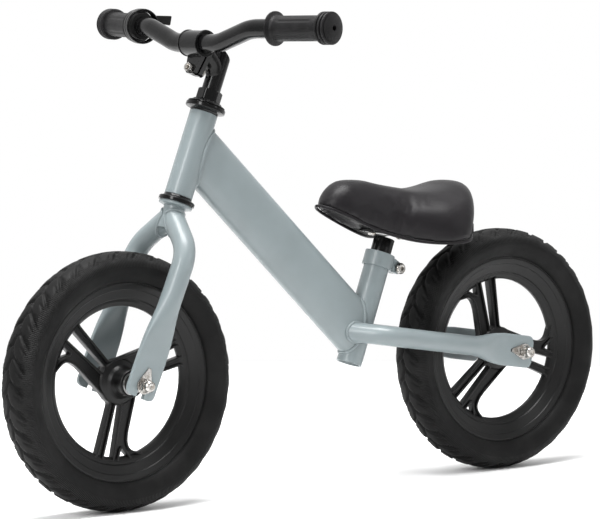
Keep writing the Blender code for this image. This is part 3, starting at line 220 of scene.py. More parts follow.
# %% [markdown]
# One function turns shells into an object.  It closes poles and seams, points every face outwards,
# shades it smooth and ties the object to a moving body of the frame.  A second one starts from a
# solid of the frame: it merges a copy of the loose triangles and rounds the edges with a small bevel,
# which is what moulding and tumbling do to real fittings.


# %% Objects
LOOKS = {}
MADE = []


def finished(made, look, body, replaced):
    made.data.materials.clear()
    made.data.materials.append(LOOKS[look][0])
    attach(made, body)
    if replaced:
        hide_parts(*replaced)
    MADE.append(made.name)
    return made


def placed(name, data):
    made = bpy.data.objects.new(name, data)
    bpy.context.scene.collection.objects.link(made)
    return made


def merged(mesh, distance, flat=False):
    """Weld loose corners, then join flat triangles into faces, or point every face outwards."""
    worker = bmesh.new()
    worker.from_mesh(mesh)
    bmesh.ops.remove_doubles(worker, verts=worker.verts, dist=distance)
    if flat:
        bmesh.ops.dissolve_limit(worker, angle_limit=math.radians(0.6), verts=worker.verts,
                                 edges=worker.edges)
    else:
        bmesh.ops.recalc_face_normals(worker, faces=worker.faces)
    worker.to_mesh(mesh)
    worker.free()


def shaded(mesh, sharp):
    """Smooth shading, with a crease where two faces meet at more than sharp degrees."""
    mesh.shade_smooth()
    mesh.set_sharp_from_angle(angle=math.radians(sharp))


def applied(made):
    """Replace an object's mesh by what its modifiers make of it."""
    bpy.context.view_layer.update()
    mesh = bpy.data.meshes.new_from_object(made.evaluated_get(bpy.context.evaluated_depsgraph_get()))
    made.modifiers.clear()
    made.data = mesh


def make(name, shells, look, body, replaced=(), sharp=42, cutters=()):
    """Join shells (points, faces) into one object and cut the given shells out of it."""
    built = []
    for label, group in [(name, shells)] + [(f"{name}_cut_{i}", [shell]) for i, shell in enumerate(cutters)]:
        offset = np.cumsum([0] + [len(points) for points, _ in group[:-1]])
        mesh = bpy.data.meshes.new(label)
        mesh.from_pydata(np.concatenate([points for points, _ in group]), [],
                         np.concatenate([faces + start for (_, faces), start in zip(group, offset)]))
        merged(mesh, 1e-6)
        built.append(placed(label, mesh))
    made = built[0]
    for cutter in built[1:]:
        step = made.modifiers.new("cut", "BOOLEAN")
        step.operation, step.solver, step.object = "DIFFERENCE", "EXACT", cutter
    if cutters:
        applied(made)
        for cutter in built[1:]:
            bpy.data.objects.remove(cutter)
    shaded(made.data, sharp)
    return finished(made, look, body, replaced)


def eased(node, look, body, bevel):
    """A merged copy of a solid of the frame, with its edges rounded."""
    mesh = frame["nodes"][node].data.copy()
    merged(mesh, 3e-6, flat=True)
    if "custom_normal" in mesh.attributes:
        mesh.attributes.remove(mesh.attributes["custom_normal"])
    shaded(mesh, 40)
    made = placed(f"{node}_eased", mesh)
    step = made.modifiers.new("rounded_edges", "BEVEL")
    step.width, step.segments, step.limit_method = bevel, 2, "ANGLE"
    step.angle_limit = math.radians(34)
    step.harden_normals = True
    return finished(made, look, body, [node])


print("the frame has", len(frame["nodes"]), "solids")

# %% [markdown]
# ## Finishes
# A finish is a small network of shader nodes.  Written node by node it is hard to read, so one class
# wraps an output socket and lets arithmetic be written as arithmetic: 1 - mask adds a Math node.
# Every other node comes from one method.  Patterns are measured in metres on Object coordinates,
# so the grain has its real size on every piece.


# %% Shader arithmetic
class Wire:
    """One output socket of a node tree."""

    def __init__(self, tree, socket=None):
        self.tree, self.socket = tree, socket

    def node(self, kind, settings, inputs, output=0):
        made = self.tree.nodes.new("ShaderNode" + kind)
        for name, value in settings.items():
            setattr(made, name, value)
        for name, value in inputs.items():
            if isinstance(value, Wire):
                self.tree.links.new(value.socket, made.inputs[name])
            else:
                made.inputs[name].default_value = value
        return Wire(self.tree, made.outputs[output])

    def maths(self, operation, first, second=0.0):
        return self.node("Math", {"operation": operation}, {0: first, 1: second})

    def __add__(self, other):
        return self.maths("ADD", self, other)

    def __sub__(self, other):
        return self.maths("SUBTRACT", self, other)

    def __rsub__(self, other):
        return self.maths("SUBTRACT", other, self)

    def __mul__(self, other):
        return self.maths("MULTIPLY", self, other)

    __radd__, __rmul__ = __add__, __mul__

    def between(self, low, high):
        """0 at low and below, 1 at high and above."""
        return self.node("MapRange", {"clamp": True, "interpolation_type": "SMOOTHSTEP"},
                         {"Value": self, "From Min": low, "From Max": high})

    def mixed(self, first, second):
        """The first colour where this is 0, the second where it is 1."""
        return self.node("Mix", {"data_type": "RGBA"}, {0: self, 6: first, 7: second}, 2)

    def noise(self, scale, detail=2.0, stretch=(1, 1, 1)):
        """Clouds about 1 / scale metres across on this position."""
        place = self.node("VectorMath", {"operation": "MULTIPLY"}, {0: self, 1: stretch})
        return self.node("TexNoise", {}, {"Vector": place, "Scale": scale, "Detail": detail})

    def cells(self, scale):
        """Distance to the nearest of scattered points: pebbled grain."""
        return self.node("TexVoronoi", {"feature": "F1"}, {"Vector": self, "Scale": scale})


def grey(value, tint=(1, 1, 1)):
    return (value * tint[0], value * tint[1], value * tint[2], 1.0)


def new_look(name, slot, **constants):
    """Start a material; constants go on the shader's own sockets."""
    material = bpy.data.materials.new(name)
    material.use_nodes = True
    shader = material.node_tree.nodes["Principled BSDF"]
    for socket, value in constants.items():
        shader.inputs[socket.replace("_", " ")].default_value = value
    LOOKS[name] = (material, slot)
    return shader, Wire(material.node_tree).node("TexCoord", {}, {}, "Object")


def connect(shader, place, colour=None, roughness=None, metallic=None, height=None, depth=0.0001):
    """Join the varying terms to the shader; height is in units of depth metres."""
    tree = place.tree
    terms = {"Base Color": colour, "Roughness": roughness, "Metallic": metallic}
    if height is not None:
        terms["Normal"] = place.node("Bump", {}, {"Strength": 1.0, "Distance": depth, "Height": height})
    for socket, term in terms.items():
        if term is not None:
            tree.links.new(term.socket, shader.inputs[socket])


# %% [markdown]
# The frame is sprayed with a grey-green enamel.  Up close it has the faint ripple that painters call
# orange peel, slow drifts of tone and slightly duller patches.  The black parts of the steering are
# powder coated: the same ripple, coarser, under a glossy skin.


# %% Enamel and powder coat
ENAMEL = (0.172, 0.205, 0.213, 1.0)


def enamel_look():
    shader, place = new_look("grey_green_enamel", "frame_paint", Coat_Weight=0.22, Coat_Roughness=0.18)
    drift = place.noise(14, 3.0)
    light = tuple(min(1.0, v * 1.07) for v in ENAMEL[:3]) + (1.0,)
    dark = tuple(v * 0.93 for v in ENAMEL[:3]) + (1.0,)
    fleck = place.noise(5200, 1.0)
    tone = drift.between(0.3, 0.7) * 0.8 + fleck * 0.2
    connect(shader, place, colour=tone.mixed(dark, light), roughness=0.36 + place.noise(55, 3.0) * 0.14,
            height=place.noise(420, 1.0) + fleck * 0.15, depth=0.00005)


def powder_look():
    shader, place = new_look("black_powder_coat", "black_paint", Coat_Weight=0.16, Coat_Roughness=0.07,
                             Specular_IOR_Level=0.16)
    drift = place.noise(40, 2.0)
    connect(shader, place, colour=drift.mixed(grey(0.0025), grey(0.0050, (1, 0.98, 1.02))),
            roughness=0.15 + place.noise(90, 3.0) * 0.12, height=place.noise(700, 2.0), depth=0.00005)


enamel_look()
powder_look()
print("finishes so far:", sorted(LOOKS))

# %% [markdown]
# The fasteners are plated.  Plating is a mirror broken by fine turning marks, and warm or cool stains
# drift over it.  The bearing shields are black rubber between two ground steel rings, so that finish
# looks at the distance from the axle: radius = sqrt(x^2 + z^2) about the wheel's centre.


# %% Plated and ground steel
def plated_look():
    shader, place = new_look("bright_plate", "bright_zinc", Metallic=1.0)
    stain = place.noise(160, 3.0).between(0.35, 0.7)
    marks = place.noise(900, 3.0, (1.0, 0.15, 1.0))
    connect(shader, place, colour=stain.mixed((0.50, 0.49, 0.475, 1), (0.31, 0.285, 0.255, 1)),
            roughness=0.14 + stain * 0.10 + marks * 0.16, height=marks, depth=0.00003)


def from_axle(place, centre):
    """Radius and angle of a point about a wheel's axle, which lies along Y."""
    local = place.node("VectorMath", {"operation": "SUBTRACT"}, {0: place, 1: tuple(centre)})
    x, z = (local.node("SeparateXYZ", {}, {"Vector": local}, axis) for axis in ("X", "Z"))
    return local.maths("SQRT", x * x + z * z), local.maths("ARCTAN2", z, x), local


def bearing_look(side, centre):
    shader, place = new_look(f"{side}_bearing_steel", "bearing_steel")
    radius, _, _ = from_axle(place, centre)
    shield = radius.between(0.0074, 0.0077) * (1 - radius.between(0.0112, 0.0115))
    marks = radius.noise(1, 1.0)
    rings = radius.maths("SINE", radius * 30000.0)
    connect(shader, place, colour=shield.mixed((0.42, 0.42, 0.42, 1), grey(0.006)),
            roughness=0.22 + shield * 0.3 + marks * 0.12, metallic=1 - shield, height=rings, depth=0.00001)


CENTRES = {side: np.array(JOINTS[f"{side}_wheel_spin"]["pos_m"]) for side in ("front", "rear")}
plated_look()
for side, centre in CENTRES.items():
    bearing_look(side, centre)
print("wheel centres", {side: centre.round(4).tolist() for side, centre in CENTRES.items()})

# %% [markdown]
# The tyre is one piece of black foam, so its skin is dull, finely pitted and a little dusty.  Its
# shoulders carry hundreds of fine ribs that point at the axle.  They are too fine for the mesh, so
# the finish draws them: a sine of the angle, kept to a band of radii, as bumps and as painted shade,
# with the grooves between the ribs painted darker than the rib tops.  The wheel is moulded nylon
# with a satin skin, and the grips are soft rubber.


# %% Foam, nylon, rubber and plastic
RIB_COUNT = 420


def foam_look(side, centre):
    shader, place = new_look(f"{side}_tyre_foam", "tyre_foam", Specular_IOR_Level=0.16)
    radius, angle, local = from_axle(place, centre)
    side_way = local.maths("ABSOLUTE", local.node("SeparateXYZ", {}, {"Vector": local}, "Y"))
    band = radius.between(0.1335, 0.1345) * (1 - radius.between(0.1455, 0.1465))
    band = band * side_way.between(0.012, 0.016)
    ribs = angle.maths("SINE", angle * float(RIB_COUNT)) * 0.5 + 0.5
    pits = place.noise(1900, 3.0)
    dust = place.noise(26, 4.0).between(0.42, 0.72)
    # Random dust, and inside the ribbed band the rib tops painted paler than the grooves: painted shade of the
    # ribs.
    colour = (dust * (0.6 + 0.4 * ribs * band)).mixed(grey(0.0022), grey(0.0090, (1, 0.99, 0.98)))
    connect(shader, place, colour=colour, roughness=0.50 + place.noise(140, 3.0) * 0.20,
            height=band * ribs * 3.2 + pits * 0.45, depth=0.00016)


def nylon_look():
    shader, place = new_look("moulded_nylon", "wheel_nylon", Specular_IOR_Level=0.24)
    flow = place.noise(30, 4.0, (1, 3, 1))
    connect(shader, place, colour=flow.mixed(grey(0.0025), grey(0.0050)),
            roughness=0.27 + flow * 0.14 + place.noise(600, 2.0) * 0.06,
            height=place.noise(2600, 2.0), depth=0.00003)


def rubber_look():
    shader, place = new_look("grip_rubber", "grip_rubber", Specular_IOR_Level=0.18)
    bloom = place.noise(60, 4.0).between(0.35, 0.75)
    connect(shader, place, colour=bloom.mixed(grey(0.006, (1, 0.97, 1.02)), grey(0.012, (1, 0.96, 1.02))),
            roughness=0.42 + bloom * 0.12, height=place.cells(2400) + place.noise(1500, 2.0) * 0.5,
            depth=0.00006)


def plastic_look():
    shader, place = new_look("moulded_plastic", "black_plastic", Specular_IOR_Level=0.20)
    connect(shader, place, colour=place.noise(80, 3.0).mixed(grey(0.004), grey(0.008)),
            roughness=0.30 + place.noise(300, 3.0) * 0.14, height=place.cells(1800), depth=0.00004)


def strip_look():
    """Undyed grey of the saddle's moulded base."""
    shader, place = new_look("grey_base_plastic", "black_plastic", Specular_IOR_Level=0.08)
    connect(shader, place, colour=place.noise(80, 3.0).mixed(grey(0.020), grey(0.032)),
            roughness=0.62 + place.noise(300, 3.0) * 0.14, height=place.cells(1500), depth=0.00005)


def skin_look():
    """Saddle skin: pebbled grain, soft sheen, and paler where hands and legs rub it."""
    shader, place = new_look("saddle_skin", "saddle_skin", Coat_Weight=0.02, Coat_Roughness=0.4,
                             Specular_IOR_Level=0.22)
    wear = place.noise(22, 4.0).between(0.4, 0.75)
    grain = place.cells(1250) * 0.8 + place.noise(800, 3.0) * 0.6
    connect(shader, place, colour=wear.mixed((0.0058, 0.0049, 0.0060, 1), (0.0088, 0.0075, 0.0088, 1)),
            roughness=0.40 + wear * 0.08 + place.noise(900, 2.0) * 0.06, height=grain, depth=0.00010)


for side, centre in CENTRES.items():
    foam_look(side, centre)
nylon_look()
rubber_look()
plastic_look()
strip_look()
skin_look()
print("finishes:", len(LOOKS))

# %% [markdown]
# ## Wheels
# A foam tyre is moulded in one piece.  Its section runs from the bead at the rim, out over the
# sidewall and the ribbed shoulder, to a tread of slanted blocks.  The surface has two parameters: the
# angle round the wheel, and the place along the section.  The tread is cut into it by sinking the
# points that fall in a groove, and the sinking follows the direction from the tyre's core.

# %% Tyre
TYRE_LOW, TYRE_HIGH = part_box("front_tyre")
TYRE_RADIUS = (TYRE_HIGH.x - TYRE_LOW.x) / 2
HALF_WIDE = (TYRE_HIGH.y - TYRE_LOW.y) / 2
SEAT_RADIUS = 0.1151
BLOCKS = 34
GROOVE_DEPTH = 0.0024
CORE_RADIUS = 0.1310


def tyre_section(count):
    """(radius, height) round the tyre, from one bead over the tread to the other."""
    half = [(SEAT_RADIUS, 0.0160), (SEAT_RADIUS + 0.0014, 0.0186), (0.1205, 0.0222), (0.1265, 0.0252),
            (0.1328, HALF_WIDE - 0.0001), (0.1385, 0.0256), (0.1434, 0.0216), (0.1472, 0.0160),
            (0.1492, 0.0098), (TYRE_RADIUS - 0.0002, 0.0036)]
    return evenly(smooth(mirrored(half), 400), count)[0]


def tyre(side, centre, rows=76, columns=816):
    section = tyre_section(rows)
    angle = np.linspace(0, 2 * np.pi, columns, endpoint=False)[None, :]
    radius, height = section[:, :1], section[:, 1:]
    across = height / HALF_WIDE
    # Slanted blocks: the groove's angle leans back with the distance from the middle, in opposite
    # halves by half a pitch, and a zigzag groove runs round the middle.
    turn = angle * BLOCKS / (2 * np.pi)
    lean = 0.9 * np.abs(across) ** 1.3 + 0.5 * (across > 0)
    slanted = np.abs((turn - lean) % 1.0 - 0.5)
    cross_groove = 1 - ease(slanted, 0.060, 0.125)
    half_turn = np.abs((turn * 2 - 1.8 * np.abs(across)) % 1.0 - 0.5)
    small_groove = (1 - ease(half_turn, 0.05, 0.15)) * ease(np.abs(across), 0.42, 0.50)
    small_groove = small_groove * (1 - ease(np.abs(across), 0.74, 0.80))
    zigzag = height - 0.0026 * (2 * np.abs(2 * (turn % 1.0) - 1) - 1)
    middle_groove = 1 - ease(np.abs(zigzag), 0.0009, 0.0021)
    outer = ease(radius, 0.1415, 0.1455)
    sunk = np.maximum(cross_groove * outer, np.maximum(middle_groove, 0.55 * small_groove * outer))
    # The shoulder's scalloped edge: the tread stands a little proud of the sidewall.
    scallop = ease(radius, 0.1405, 0.1435) - ease(radius, 0.1475, 0.1485)
    sunk = sunk + 0.25 * scallop * (0.5 - 0.5 * np.cos(2 * np.pi * (turn - lean)))
    way = unit(np.stack([radius - CORE_RADIUS, height * 0.8], -1))
    radius = radius - way[..., 0] * sunk * GROOVE_DEPTH
    height = np.broadcast_to(height, sunk.shape) - way[..., 1] * sunk * GROOVE_DEPTH
    points = centre + np.stack([radius * np.cos(angle), height, radius * np.sin(angle)], -1)
    return make(f"{side}_foam_tyre", [grid(points, closed_rows=True)], f"{side}_tyre_foam",
                f"{side}_wheel", [f"{side}_tyre"], sharp=70)


for side, centre in CENTRES.items():
    print(side, "tyre has", len(tyre(side, centre).data.polygons), "faces")

# %% [markdown]
# The wheel is one nylon moulding.  The rim is a turned part with sloping sides and a bright lip.  The
# three arms are what is left between nine openings in a thin web: a bean, a slot and a triangle for
# each arm.  Moulders stiffen such a web with a flange along every opening, so a rounded strip is
# carried round the outline of each one.

# %% Moulded wheel
RIM_BORE = 0.0918
DISC_RADIUS = 0.027
WEB_HALF = 0.0021
SLOT_LOW, SLOT_HIGH = 0.0, 0.0136
LEADING, TRAILING = 0.0085, 0.0125
ARM_START = {"front": math.radians(15), "rear": math.radians(100)}


def polar(radius, angle):
    return radius * math.cos(angle), radius * math.sin(angle)


def window_outlines():
    """The three openings of an arm that points along x, as rounded outlines."""
    back, spread = RIM_BORE - 0.018, 2 * math.pi / 3
    trailing = SLOT_HIGH + TRAILING
    near = math.atan2(SLOT_LOW - LEADING + 0.0015, DISC_RADIUS)
    far = math.asin((SLOT_LOW - LEADING - 0.0015) / RIM_BORE)
    start, end = math.acos(back / RIM_BORE), spread + far
    low = math.asin(trailing / DISC_RADIUS)
    arc = [polar(RIM_BORE, start + (end - start) * k / 9) for k in range(10)]
    bean = [polar(DISC_RADIUS, low), (back, trailing)] + arc
    bean += [polar(DISC_RADIUS, spread + near), polar(DISC_RADIUS, (low + spread + near) / 2)]
    bean_radii = [0.002, 0.024] + [0.0] * 9 + [0.006, 0.005, 0.0]
    slot = [(DISC_RADIUS, SLOT_LOW + 0.001), (RIM_BORE - 0.0015, SLOT_LOW),
            (RIM_BORE - 0.0025, SLOT_HIGH), (DISC_RADIUS - 0.003, SLOT_HIGH - 0.005)]
    triangle = [(RIM_BORE - 0.0190, SLOT_HIGH + 0.0078), (RIM_BORE - 0.0033, SLOT_HIGH + 0.0076),
                (RIM_BORE - 0.0088, SLOT_HIGH + 0.0239)]
    return [rounded(bean, np.maximum(bean_radii, 0.0004), 7), rounded(slot, 0.002, 5),
            rounded(triangle, 0.0014, 4)]


def even_loop(outline, spacing=0.0016):
    line = np.concatenate([outline, outline[:1]])
    return evenly(line, max(24, int(evenly(line, 2)[1] / spacing)))[0][:-1]


def rim_section():
    half = [(0.0870, WEB_HALF), (0.0905, 0.0046), (RIM_BORE + 0.0006, 0.0058), (0.0952, 0.0062),
            (0.0962, 0.0080), (0.0980, 0.0088), (0.1062, 0.0122), (0.1070, 0.0134), (0.1128, 0.0153),
            (0.1138, 0.0149), (0.1144, 0.0150), (0.1148, 0.0155)]
    return rounded(mirrored(half), 0.0012, 3)


def hub_section():
    half = [(0.0101, 0.0217), (0.0133, 0.0217), (0.0133, 0.0300), (0.0154, 0.0300), (0.0162, 0.0290),
            (0.0162, 0.0242), (0.0152, 0.0234), (0.0154, 0.0150), (0.0166, 0.0110), (0.0196, 0.0076),
            (0.0252, 0.0050), (0.0272, 0.0030)]
    return rounded(mirrored(half), 0.0008, 3)


def moulded_wheel(side, centre):
    flat = np.array([[1.0, 0, 0], [0, 0, 1.0]])
    disc = [(0.0140, WEB_HALF), (0.0890, WEB_HALF), (0.0890, -WEB_HALF), (0.0140, -WEB_HALF)]
    cutters, strips = [], []
    strip = rounded([(-0.0013, -0.0049), (0.0013, -0.0049), (0.0013, 0.0049), (-0.0013, 0.0049)], 0.0009, 3)
    for arm in range(3):
        angle = ARM_START[side] + 2 * math.pi * arm / 3
        x = flat.T @ polar(1, angle)
        y = flat.T @ polar(1, angle + math.pi / 2)
        for outline in window_outlines():
            outline = even_loop(outline)
            cutters.append(plate(outline, -0.02, 0.02, centre, x, y, -ACROSS))
            ahead = unit(np.roll(outline, -1, 0) - np.roll(outline, 1, 0))
            outline = outline + 0.0009 * np.stack([ahead[:, 1], -ahead[:, 0]], 1)
            path = centre + outline[:, :1] * x + outline[:, 1:] * y
            strips.append(grid(carried(path, strip, ACROSS, closed=True), closed_rows=True))
    web = make(f"{side}_wheel_web", [turned(disc, centre, ACROSS, 180)], "moulded_nylon",
               f"{side}_wheel", [f"{side}_wheel"], cutters=cutters)
    trim = make(f"{side}_wheel_rim", [turned(rim_section(), centre, ACROSS, 240),
                                      turned(hub_section(), centre, ACROSS, 96)] + strips,
                "moulded_nylon", f"{side}_wheel", sharp=50)
    return web, trim


for side, centre in CENTRES.items():
    print(side, "wheel:", [len(piece.data.polygons) for piece in moulded_wheel(side, centre)], "faces")

# %% [markdown]
# ## Axle fittings
# Each bearing is two steel rings with a rubber shield between.  A hexagon nut is a turned part whose
# radius depends on the angle: r = (half the flats) / cos(angle to the nearest flat's middle), cut
# off by a cone at each end, and that cone gives the curved corners of a real nut.  The cap nuts carry
# a round cap with a centre mark.


# %% Nuts, washers and bearings
NUT_CHAMFER = 0.30
NUT_START, NUT_HIGH, SPACER_START, SPACER_END = 0.0546, 0.0070, 0.0303, 0.0467


def hexagonal(flats, low, high):
    """Radius rule for turned: a hexagon, with cones at the two ends."""
    def reshape(radius, height, angle):
        side = flats / 2 / np.cos(from_flat(angle))
        cone = flats / 2 * 1.02 + np.minimum(height - low, high - height) / math.tan(NUT_CHAMFER)
        return np.where(radius > flats * 0.4, np.minimum(side, cone), radius)
    return reshape


def hexagon_nut(flats, low, high, place, direction, bore):
    outer = [(flats / 2, h) for h in np.concatenate([np.linspace(low, low + 0.0009, 4),
                                                      np.linspace(high - 0.0009, high, 4)])]
    profile = [(bore, low)] + outer + [(bore, high)]
    return turned(profile, place, direction, 72, reshape=hexagonal(flats, low, high))


def cap_profile(top):
    return rounded([(0, top - 0.001), (0.0058, top - 0.001), (0.0058, top + 0.0008), (0.0065, top + 0.0013),
                    (0.0065, top + 0.0044), (0.0050, top + 0.0062), (0.0016, top + 0.0062),
                    (0.0009, top + 0.0048), (0, top + 0.0048)], 0.0006, 3, closed=False)


def axle_fittings(side, centre):
    holder = "fork" if side == "front" else "frame"
    for hand, sign in (("left", -1), ("right", 1)):
        out = np.array([0, float(sign), 0])
        top = NUT_START + NUT_HIGH
        nut = [hexagon_nut(0.0140, NUT_START, top, centre, out, 0.0053),
               turned(cap_profile(top), centre, out, 48)]
        make(f"{side}_{hand}_cap_nut", nut, "bright_plate", holder, [f"{side}_{hand}_axle_nut"], sharp=28)
        eased(f"{side}_{hand}_retaining_washer", "bright_plate", holder, 0.00035)
        spacer = turned(tube_profile(0.0053, 0.0080, SPACER_START, SPACER_END), centre, out, 48)
        make(f"{side}_{hand}_spacer", [spacer], "bright_plate", holder, [f"{side}_{hand}_axle_spacer"])
        race = rounded([(0.0053, 0.0300), (0.0076, 0.0300), (0.0077, 0.0296), (0.0112, 0.0296),
                        (0.0113, 0.0300), (0.0130, 0.0300), (0.0130, 0.0221), (0.0053, 0.0221)], 0.0003, 2)
        make(f"{side}_{hand}_bearing", [turned(race, centre, out, 72)], f"{side}_bearing_steel",
             f"{side}_wheel", [f"{side}_{hand}_wheel_bearing"], sharp=30)
    low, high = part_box(f"{side}_axle")
    rod = tube_profile(0, 0.0050, (low.y - high.y) / 2, (high.y - low.y) / 2, 0.0006)
    make(f"{side}_axle_rod", [turned(rod, centre, (0, 1, 0), 40)], "bright_plate", holder, [f"{side}_axle"])


for side, centre in CENTRES.items():
    axle_fittings(side, centre)
print("pieces so far:", len(MADE))

# %% [markdown]
# ## Frame and fork
# The tubes are bent, pressed and welded steel.  A stay or fork leg starts round and is pressed flat
# towards the axle, so its section is a superellipse whose width grows, thickness shrinks and corners
# sharpen along the path.  The slot for the axle is cut out of the flat end.  Where tubes meet, the
# welder leaves a rippled bead, carried here along the line where the two surfaces cross.

# %% Places of the frame
HEAD_FOOT = np.array(JOINTS["steering"]["pos_m"], float)
HEAD_UP = unit(JOINTS["steering"]["axis"])
HEAD_BACK = np.cross((0, 1.0, 0), HEAD_UP)
SEAT_UP = unit(JOINTS["seat_height"]["axis"])
SEAT_FOOT = np.array([0.0521, 0, 0.1470])
SEAT_BACK = np.cross((0, 1.0, 0), SEAT_UP)
HEAD_LENGTH, HEAD_RADIUS, SEAT_LENGTH, SEAT_RADIUS_OUT = 0.1025, 0.0165, 0.1390, 0.0155
WELD_RIPPLE = 0.0022


def head_place(back, side, up):
    return HEAD_FOOT + HEAD_BACK * back + ACROSS * side + HEAD_UP * up


def bead(name, loop, out, body, size):
    """A weld: a round section whose radius ripples as size (1 + 0.16 |sin(pi s / ripple)|)."""
    line = np.concatenate([loop, loop[:1]])
    count = max(160, int(evenly(line, 2)[1] / 0.0006))
    path, length = evenly(line, count + 1)
    way = np.linspace(0, length, count + 1)[:-1]
    path = path[:-1]
    swell = 1 + 0.16 * np.abs(np.sin(np.pi * way / WELD_RIPPLE))
    swell = swell + 0.10 * np.sin(way * 311) * np.sin(way * 173)
    sections = circle(1, 12)[None] * (size * swell)[:, None, None]
    shell = grid(carried(path, sections, out, closed=True), closed_rows=True)
    return make(name, [shell], "grey_green_enamel", body, sharp=80)


def meeting(points, way, foot, axis, radius):
    """How far along way each point must move to reach a cylinder: the first root of a quadratic."""
    apart = points - foot
    apart = apart - np.outer(apart @ axis, axis)
    across = way - axis * (way @ axis)
    a, b, c = across @ across, 2 * apart @ across, (apart ** 2).sum(1) - radius ** 2
    root = np.sqrt(np.maximum(b * b - 4 * a * c, 0))
    return (-b - root) / (2 * a), (-b + root) / (2 * a)


# %% Head tube, down tube and seat tube
def main_tubes():
    head = turned(tube_profile(0.0145, HEAD_RADIUS, 0, HEAD_LENGTH, 0.0006), HEAD_FOOT, HEAD_UP, 120)
    make("head_tube_shell", [head], "grey_green_enamel", "frame", ["head_tube"])
    start, end = HEAD_FOOT + HEAD_UP * 0.0600, SEAT_FOOT + SEAT_UP * 0.0380
    way = unit(end - start)
    normal = np.array([-way[2], 0, way[0]])
    section = oval([0.0322], [0.0150], [2.6], 144)[0]
    base = (start + end) / 2 + section[:, :1] * normal + section[:, 1:] * ACROSS
    to_head = meeting(base, way, HEAD_FOOT, HEAD_UP, HEAD_RADIUS + 0.0003)[1]
    to_seat = meeting(base, way, SEAT_FOOT, SEAT_UP, SEAT_RADIUS_OUT + 0.0003)[0]
    share = np.linspace(0, 1, 60)[:, None]
    along = to_head * (1 - share) + to_seat * share
    points = base[None] + along[..., None] * way
    make("down_tube_shell", [grid(capped(points))], "grey_green_enamel", "frame", ["down_tube"], sharp=60)
    head_line, seat_line = points[0], points[-1]
    bead("head_weld", head_line - way * 0.0002, way, "frame", size=0.0021)
    bead("seat_weld", seat_line + way * 0.0002, way, "frame", size=0.0019)
    seat = tube_profile(SEAT_RADIUS_OUT - 0.0024, SEAT_RADIUS_OUT, 0, SEAT_LENGTH, 0.0005)
    slit = plate([(0, -0.00125), (0.04, -0.00125), (0.04, 0.00125), (0, 0.00125)], SEAT_LENGTH - 0.030,
                 SEAT_LENGTH + 0.01, SEAT_FOOT, SEAT_BACK, ACROSS, SEAT_UP)
    make("seat_tube_shell", [turned(seat, SEAT_FOOT, SEAT_UP, 96)], "grey_green_enamel", "frame",
         ["seat_tube"], cutters=[slit])
    return points


DOWN_TUBE = main_tubes()
print("down tube is", round(float(np.linalg.norm(DOWN_TUBE[0].mean(0) - DOWN_TUBE[-1].mean(0))), 4), "m long")


# %% Stays and fork legs
def pressed_tube(corners, bend, radius, straight_to, axle, rows=150, columns=64):
    """Grid of a tube that is round at its root and pressed flat by the time it reaches the axle."""
    line = rounded(corners, bend, 24, closed=False)
    path, length = evenly(line, rows)
    way = unit(path[-1] - path[-2])
    axle_at = length - (path[-1] - axle) @ way
    along = np.linspace(0, length, rows)
    crease = axle_at - 0.040
    share = 0.93 * ease(along, crease - straight_to, crease + 0.004)
    share = share + 0.07 * ease(along, crease, crease + 0.012)
    share = np.where(along < crease - straight_to, 0, share)
    to_end = length - along
    round_off = np.sqrt(np.clip(1 - ((0.0085 - to_end) / 0.0085).clip(0) ** 2, 0, 1))
    wide = radius + (0.0200 - radius) * share
    wide = wide - 0.0065 * (1 - round_off)
    thick = radius + (0.00275 - radius) * share
    sections = oval(wide, thick, 2 + 6 * share ** 3, columns)
    return carried(path, sections, ACROSS)


def dropout_cutters(axle, pointing):
    """The axle's slot, open at the end of the tube, and the small hole for the washer's tab."""
    x = unit(pointing)
    y = np.cross(ACROSS, x)
    half = 0.0053
    arc = np.linspace(-np.pi / 2, np.pi / 2, 17)
    round_end = np.stack([half * np.cos(arc), half * np.sin(arc)], 1)
    slot = np.concatenate([[(-0.030, half), (-0.030, -half)], round_end])
    hole = rounded([(0.0168, -0.0026), (0.0212, -0.0026), (0.0212, 0.0026), (0.0168, 0.0026)], 0.0016, 3)
    return [plate(outline, -0.012, 0.012, axle, x, y, ACROSS) for outline in (slot, hole)]


def crossing(points, value, level):
    """For each column of a grid, the place where value first passes level, going down the rows."""
    row = np.argmax(value > level, axis=0)
    row = np.clip(row, 1, len(value) - 1)
    column = np.arange(value.shape[1])
    low, high = value[row - 1, column], value[row, column]
    part = np.clip((level - low) / np.where(high == low, 1, high - low), 0, 1)[:, None]
    return points[row - 1, column] * (1 - part) + points[row, column] * part


def stay(hand, sign):
    axle = CENTRES["rear"] + ACROSS * sign * 0.04975
    root_z = 0.1870
    root_x = SEAT_FOOT[0] + (root_z - SEAT_FOOT[2]) * SEAT_UP[0] / SEAT_UP[2] - 0.0190
    run = unit(CENTRES["rear"] - np.array([root_x, 0, root_z]))
    knee = np.array([root_x + 0.026, sign * 0.04975, root_z - 0.026 * 0.16])
    end = axle + run * 0.0145
    way = unit(end - knee)
    points = pressed_tube([(root_x - 0.003, sign * 0.004, root_z), knee, end], 0.034, 0.0120, 0.045, axle)
    make(f"{hand}_stay_shell", [grid(capped(points))], "grey_green_enamel", "frame", [f"{hand}_stay"],
         sharp=55, cutters=dropout_cutters(axle, -way))
    loop = crossing(points, np.abs(points[..., 1]), 0.0149)
    bead(f"{hand}_stay_weld", loop, ACROSS, "frame", size=0.0017)


